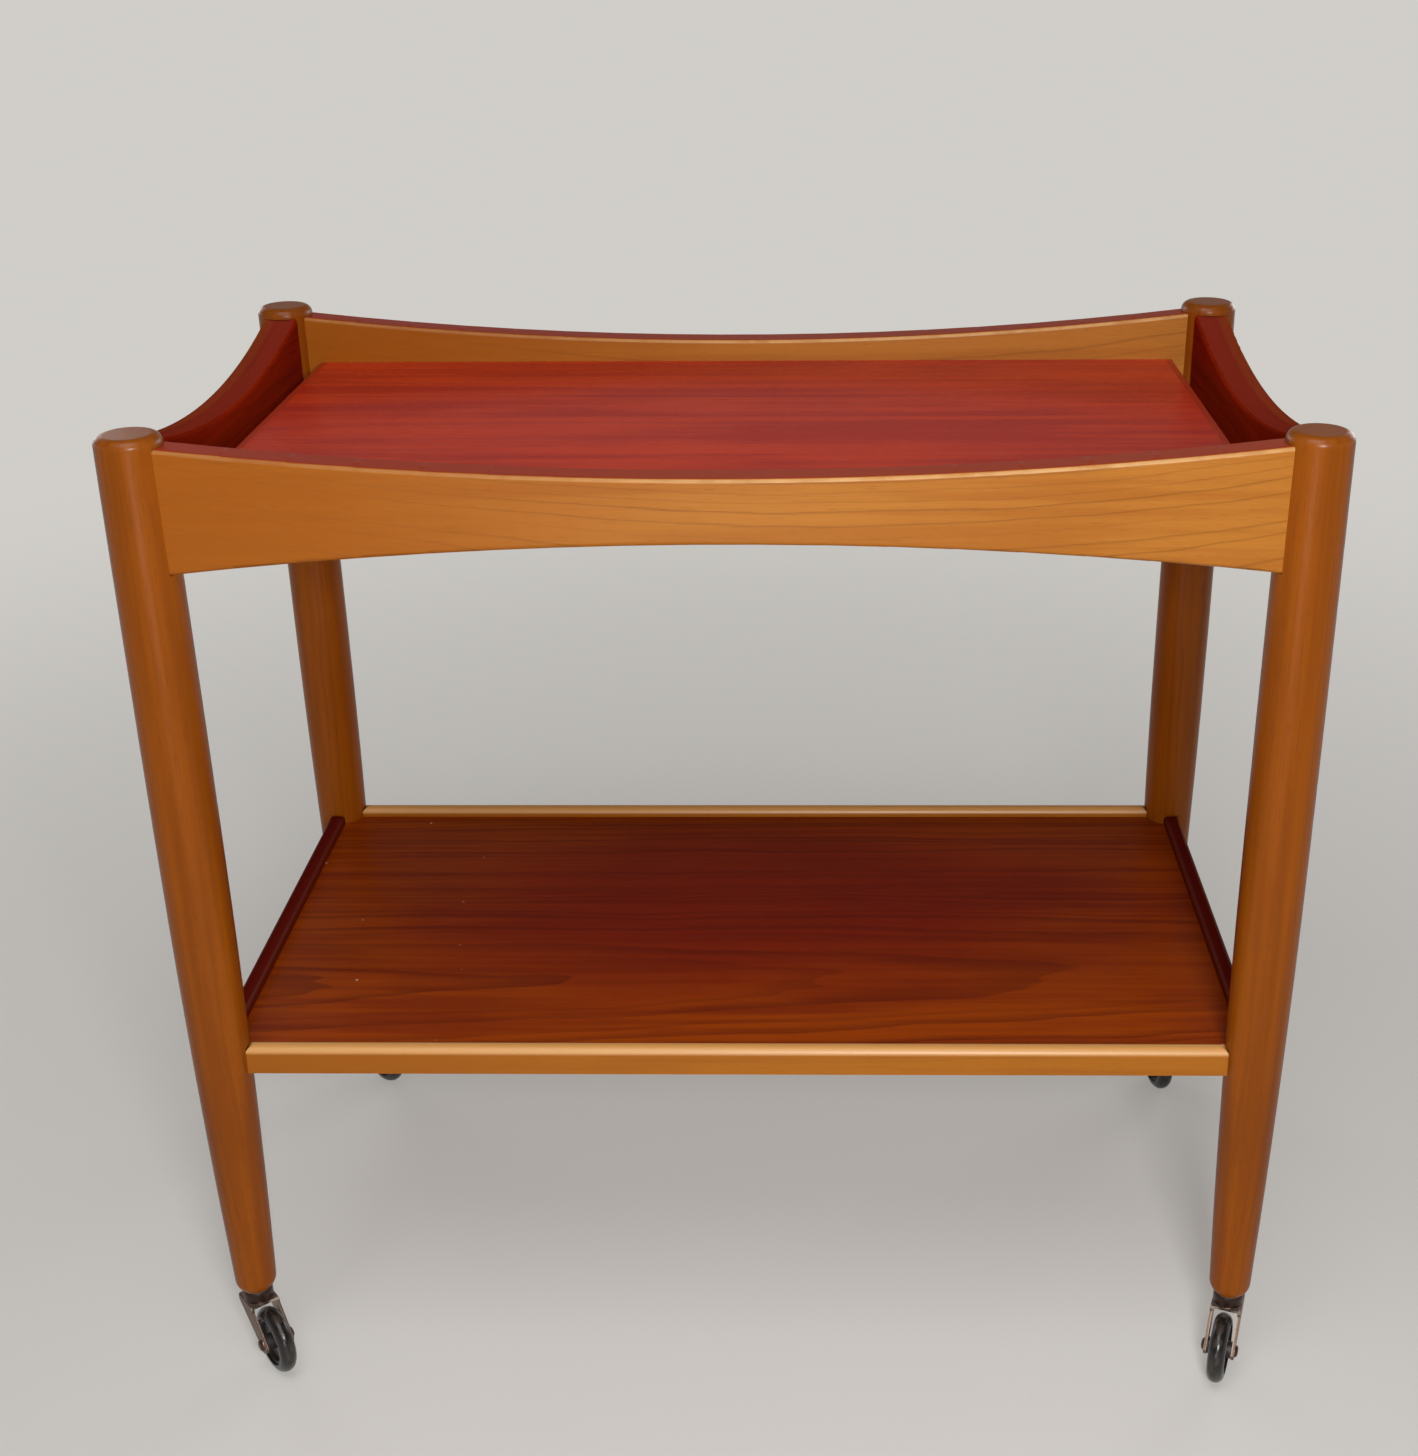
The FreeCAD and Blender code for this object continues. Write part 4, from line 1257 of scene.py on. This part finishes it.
        spin = graph.node("ShaderNodeCombineXYZ", inputs={"Z": roll})
        aim = graph.node("FunctionNodeEulerToRotation", inputs={0: lean})
        twist = graph.node("FunctionNodeEulerToRotation", inputs={0: spin})
        turned = graph.node(
            "FunctionNodeRotateRotation",
            {"rotation_space": "LOCAL"},
            {"Rotation": aim, "Rotate By": twist},
        )
        placed = graph.node(
            "GeometryNodeInstanceOnPoints",
            inputs={"Points": line, "Instance": given, "Rotation": turned},
        )
        solid = graph.node("GeometryNodeRealizeInstances", inputs={"Geometry": placed})
        finish = {"Geometry": solid, "Material": given.out("Finish")}
        worn = graph.node("GeometryNodeSetMaterial", inputs=finish)
        graph.node("NodeGroupOutput", inputs={"Geometry": worn})
        return made

    def build(self, finish: bpy.types.Material) -> None:
        """Builds the row where its CAD node stands.

        Args:
            finish: The screws' finish.
        """
        low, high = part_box(self.node)
        out = Matrix.Rotation(self.heads.value, 3, "X") @ Vector((0.0, 0.0, 1.0))
        reach = abs(out.dot(high - low))
        first = (low + high) / 2 + out * (reach / 2 - self.head_height)
        first.x = low.x + self.head_radius
        screw = self.screw_mesh(reach - self.head_height)
        holder = bpy.data.objects.new(f"slotted_{self.node}", screw)
        bpy.context.scene.collection.objects.link(holder)
        modifier = holder.modifiers.new("row", "NODES")
        modifier.node_group = self.tree()
        values = {
            "Count": self.count,
            "Pitch": (high.x - low.x - 2 * self.head_radius) / (self.count - 1),
            "First": list(first),
            "Turn": self.heads.value,
            "Seed": self.seed,
            "Finish": finish,
        }
        for item in modifier.node_group.interface.items_tree:
            if item.in_out == "INPUT" and item.name in values:
                modifier[item.identifier] = values[item.name]
        evaluated = holder.evaluated_get(bpy.context.evaluated_depsgraph_get())
        row = bpy.data.meshes.new_from_object(evaluated)
        holder.modifiers.clear()
        holder.data = row
        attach(holder, "frame")
        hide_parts(self.node)
        LOG.info("%s stands for %s with %d screws", holder.name, self.node, self.count)


SCREW_ROWS = (
    ScrewRow("cleat_screws_front", 3, HeadsFace.REAR, 11),
    ScrewRow("cleat_screws_rear", 3, HeadsFace.FRONT, 12),
    ScrewRow("panel_screws_front", 2, HeadsFace.FLOOR, 13),
    ScrewRow("panel_screws_rear", 2, HeadsFace.FLOOR, 14),
)


@dataclass(frozen=True)
class Lamp:
    """One square soft lamp. Lengths in metres, power in watts."""

    name: str
    place: Vector
    target: Vector
    size: float
    power: float

    def build(self) -> None:
        """Hangs the lamp, unseen by the camera itself."""
        light = bpy.data.lights.new(self.name, "AREA")
        light.shape = "SQUARE"
        light.size = self.size
        light.energy = self.power
        holder = bpy.data.objects.new(self.name, light)
        holder.location = self.place
        holder.rotation_euler = (self.target - self.place).to_track_quat("-Z", "Y").to_euler()
        holder.visible_camera = False
        bpy.context.scene.collection.objects.link(holder)


LAMPS = (
    Lamp("key", Vector((0.24, -1.44, 1.04)), Vector((0.0, 0.0, 0.42)), 0.30, 14.5),
    Lamp("low", Vector((-0.10, -1.35, 0.32)), Vector((0.0, -0.2, 0.60)), 0.30, 1.6),
    Lamp("overhead", Vector((-0.2, -1.0, 2.4)), Vector((0.0, 0.0, 0.3)), 1.4, 20.0),
    Lamp("back_left", Vector((-1.9, 2.2, 1.0)), Vector((0.0, 0.0, 0.4)), 1.2, 10.0),
    Lamp("back_right", Vector((1.9, 2.2, 1.0)), Vector((0.0, 0.0, 0.4)), 1.2, 14.0),
)


@dataclass(frozen=True)
class Studio:
    """Pale floor, even light all round and the camera at the photograph's angle.

    Lengths are in metres, apart from the lens, its sensor and the floor's finish, in millimetres.
    """

    camera_place: Vector = Vector((0.061598, -1.265404, 0.992543))
    yaw: float = -0.018966
    pitch: float = 0.422772
    roll: float = 0.008214
    lens: float = 47.5026
    sensor: float = 36.0
    shift: Range = (-0.057709, 0.001130)
    sight: float = 200.0
    floor_half: float = 60.0
    floor_colour: Rgb = srgb(224, 221, 216)
    floor_shade: float = 0.96
    floor_grain: float = 2.5
    floor_relief: float = 0.00004
    lamp_reach: Range = (350.0, 2400.0)
    near_pale: float = 0.35
    pale_level: float = 0.85
    world_colour: Rgb = srgb(214, 214, 216)
    horizon: Range = (0.10, 0.32)
    horizon_level: float = 0.70
    zenith_level: float = 0.13
    seen_level: float = 0.92

    def build(self) -> None:
        """Builds the floor, the lamps, the world and the camera."""
        self.build_floor()
        self.build_world()
        for lamp in LAMPS:
            lamp.build()
        self.build_camera()

    def build_floor(self) -> None:
        """Builds the floor."""
        half = self.floor_half
        mesh = bpy.data.meshes.new("floor")
        corners = [(-half, -half, 0.0), (half, -half, 0.0), (half, half, 0.0), (-half, half, 0.0)]
        mesh.from_pydata(corners, [], [(0, 1, 2, 3)])
        floor = bpy.data.objects.new("floor", mesh)
        bpy.context.scene.collection.objects.link(floor)
        shader = Shader("pale_floor")
        x, y, z = shader.split(shader.place())
        grain = shader.noise((x / self.floor_grain, y / self.floor_grain, z), 3.0)
        shade = tinted(self.floor_colour, self.floor_shade)
        colour = shader.blend(grain, self.floor_colour, shade)
        fixed = {"Specular IOR Level": 0.1}
        finish = shader.finish(colour, grain * 0.1 + 0.7, grain, self.floor_relief, fixed)
        mesh.materials.append(finish)
        self.keep_pale(shader, x.hypot(y))

    def keep_pale(self, shader: Shader, reach: Wire) -> None:
        """Keeps the floor pale where the lamps no longer reach it, for the eye and for reflections.

        Args:
            shader: The floor's finish, already closed.
            reach: Distance from the middle of the trolley, in millimetres.
        """
        ray = shader.node("ShaderNodeLightPath", output="Is Camera Ray")
        seen = ray + ray.out("Is Glossy Ray") + ray.out("Is Transmission Ray")
        far = shader.step(reach, *self.lamp_reach) * (1.0 - self.near_pale) + self.near_pale
        glow = {"Color": (*self.floor_colour, 1.0), "Strength": self.pale_level}
        pale = shader.node("ShaderNodeEmission", inputs=glow)
        closing = next(node for node in shader.tree.nodes if node.type == "OUTPUT_MATERIAL")
        lit = Wire(shader, closing.inputs["Surface"].links[0].from_socket)
        mixed = shader.node("ShaderNodeMixShader", inputs={0: far * seen, 1: lit, 2: pale})
        shader.tree.links.new(mixed.socket, closing.inputs["Surface"])

    def build_world(self) -> None:
        """Builds the light all round, palest along the horizon, which the camera sees plain."""
        world = bpy.data.worlds.new("studio")
        world.use_nodes = True
        world.node_tree.nodes.clear()
        graph = Graph(world.node_tree)
        way = graph.node("ShaderNodeTexCoord", output="Generated")
        rise = graph.node("ShaderNodeSeparateXYZ", inputs={0: way}, output="Z")
        climb = {"Value": rise, "From Min": self.horizon[0], "From Max": self.horizon[1]}
        climb |= {"To Min": self.horizon_level, "To Max": self.zenith_level}
        fade = graph.node("ShaderNodeMapRange", {"interpolation_type": "SMOOTHSTEP"}, climb)
        seen = graph.node("ShaderNodeLightPath", output="Is Camera Ray")
        shown = {"Value": seen, "To Min": fade, "To Max": self.seen_level}
        level = graph.node("ShaderNodeMapRange", inputs=shown)
        glow = {"Color": (*self.world_colour, 1.0), "Strength": level}
        light = graph.node("ShaderNodeBackground", inputs=glow)
        graph.node("ShaderNodeOutputWorld", inputs={"Surface": light})
        bpy.context.scene.world = world

    def build_camera(self) -> None:
        """Builds the camera from the angles that the photograph was taken at."""
        ahead = Vector((
            math.sin(self.yaw) * math.cos(self.pitch),
            math.cos(self.yaw) * math.cos(self.pitch),
            -math.sin(self.pitch),
        ))
        level = Vector((math.cos(self.yaw), -math.sin(self.yaw), 0.0))
        below = ahead.cross(level)
        right = level * math.cos(self.roll) + below * math.sin(self.roll)
        down = below * math.cos(self.roll) - level * math.sin(self.roll)
        turn = Matrix((right, -down, -ahead)).transposed()
        lens = bpy.data.cameras.new("photo_camera")
        lens.sensor_width = self.sensor
        lens.lens = self.lens
        lens.shift_x, lens.shift_y = self.shift
        lens.clip_end = self.sight
        camera = bpy.data.objects.new("photo_camera", lens)
        camera.matrix_world = Matrix.Translation(self.camera_place) @ turn.to_4x4()
        bpy.context.scene.collection.objects.link(camera)
        bpy.context.scene.camera = camera


def main() -> None:
    """Builds the looks piece by piece."""
    logging.basicConfig(level=logging.INFO, format="%(name)s: %(message)s")
    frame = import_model()
    bpy.context.scene.view_settings.view_transform = "Standard"
    plan = Plan.read()
    Carcass(plan).dress(frame)
    for corner in Corner:
        Caster(corner).dress(frame)
    brass = DULL_BRASS.material()
    for row in SCREW_ROWS:
        row.build(brass)
    Studio().build()


if __name__ == "__main__":
    main()
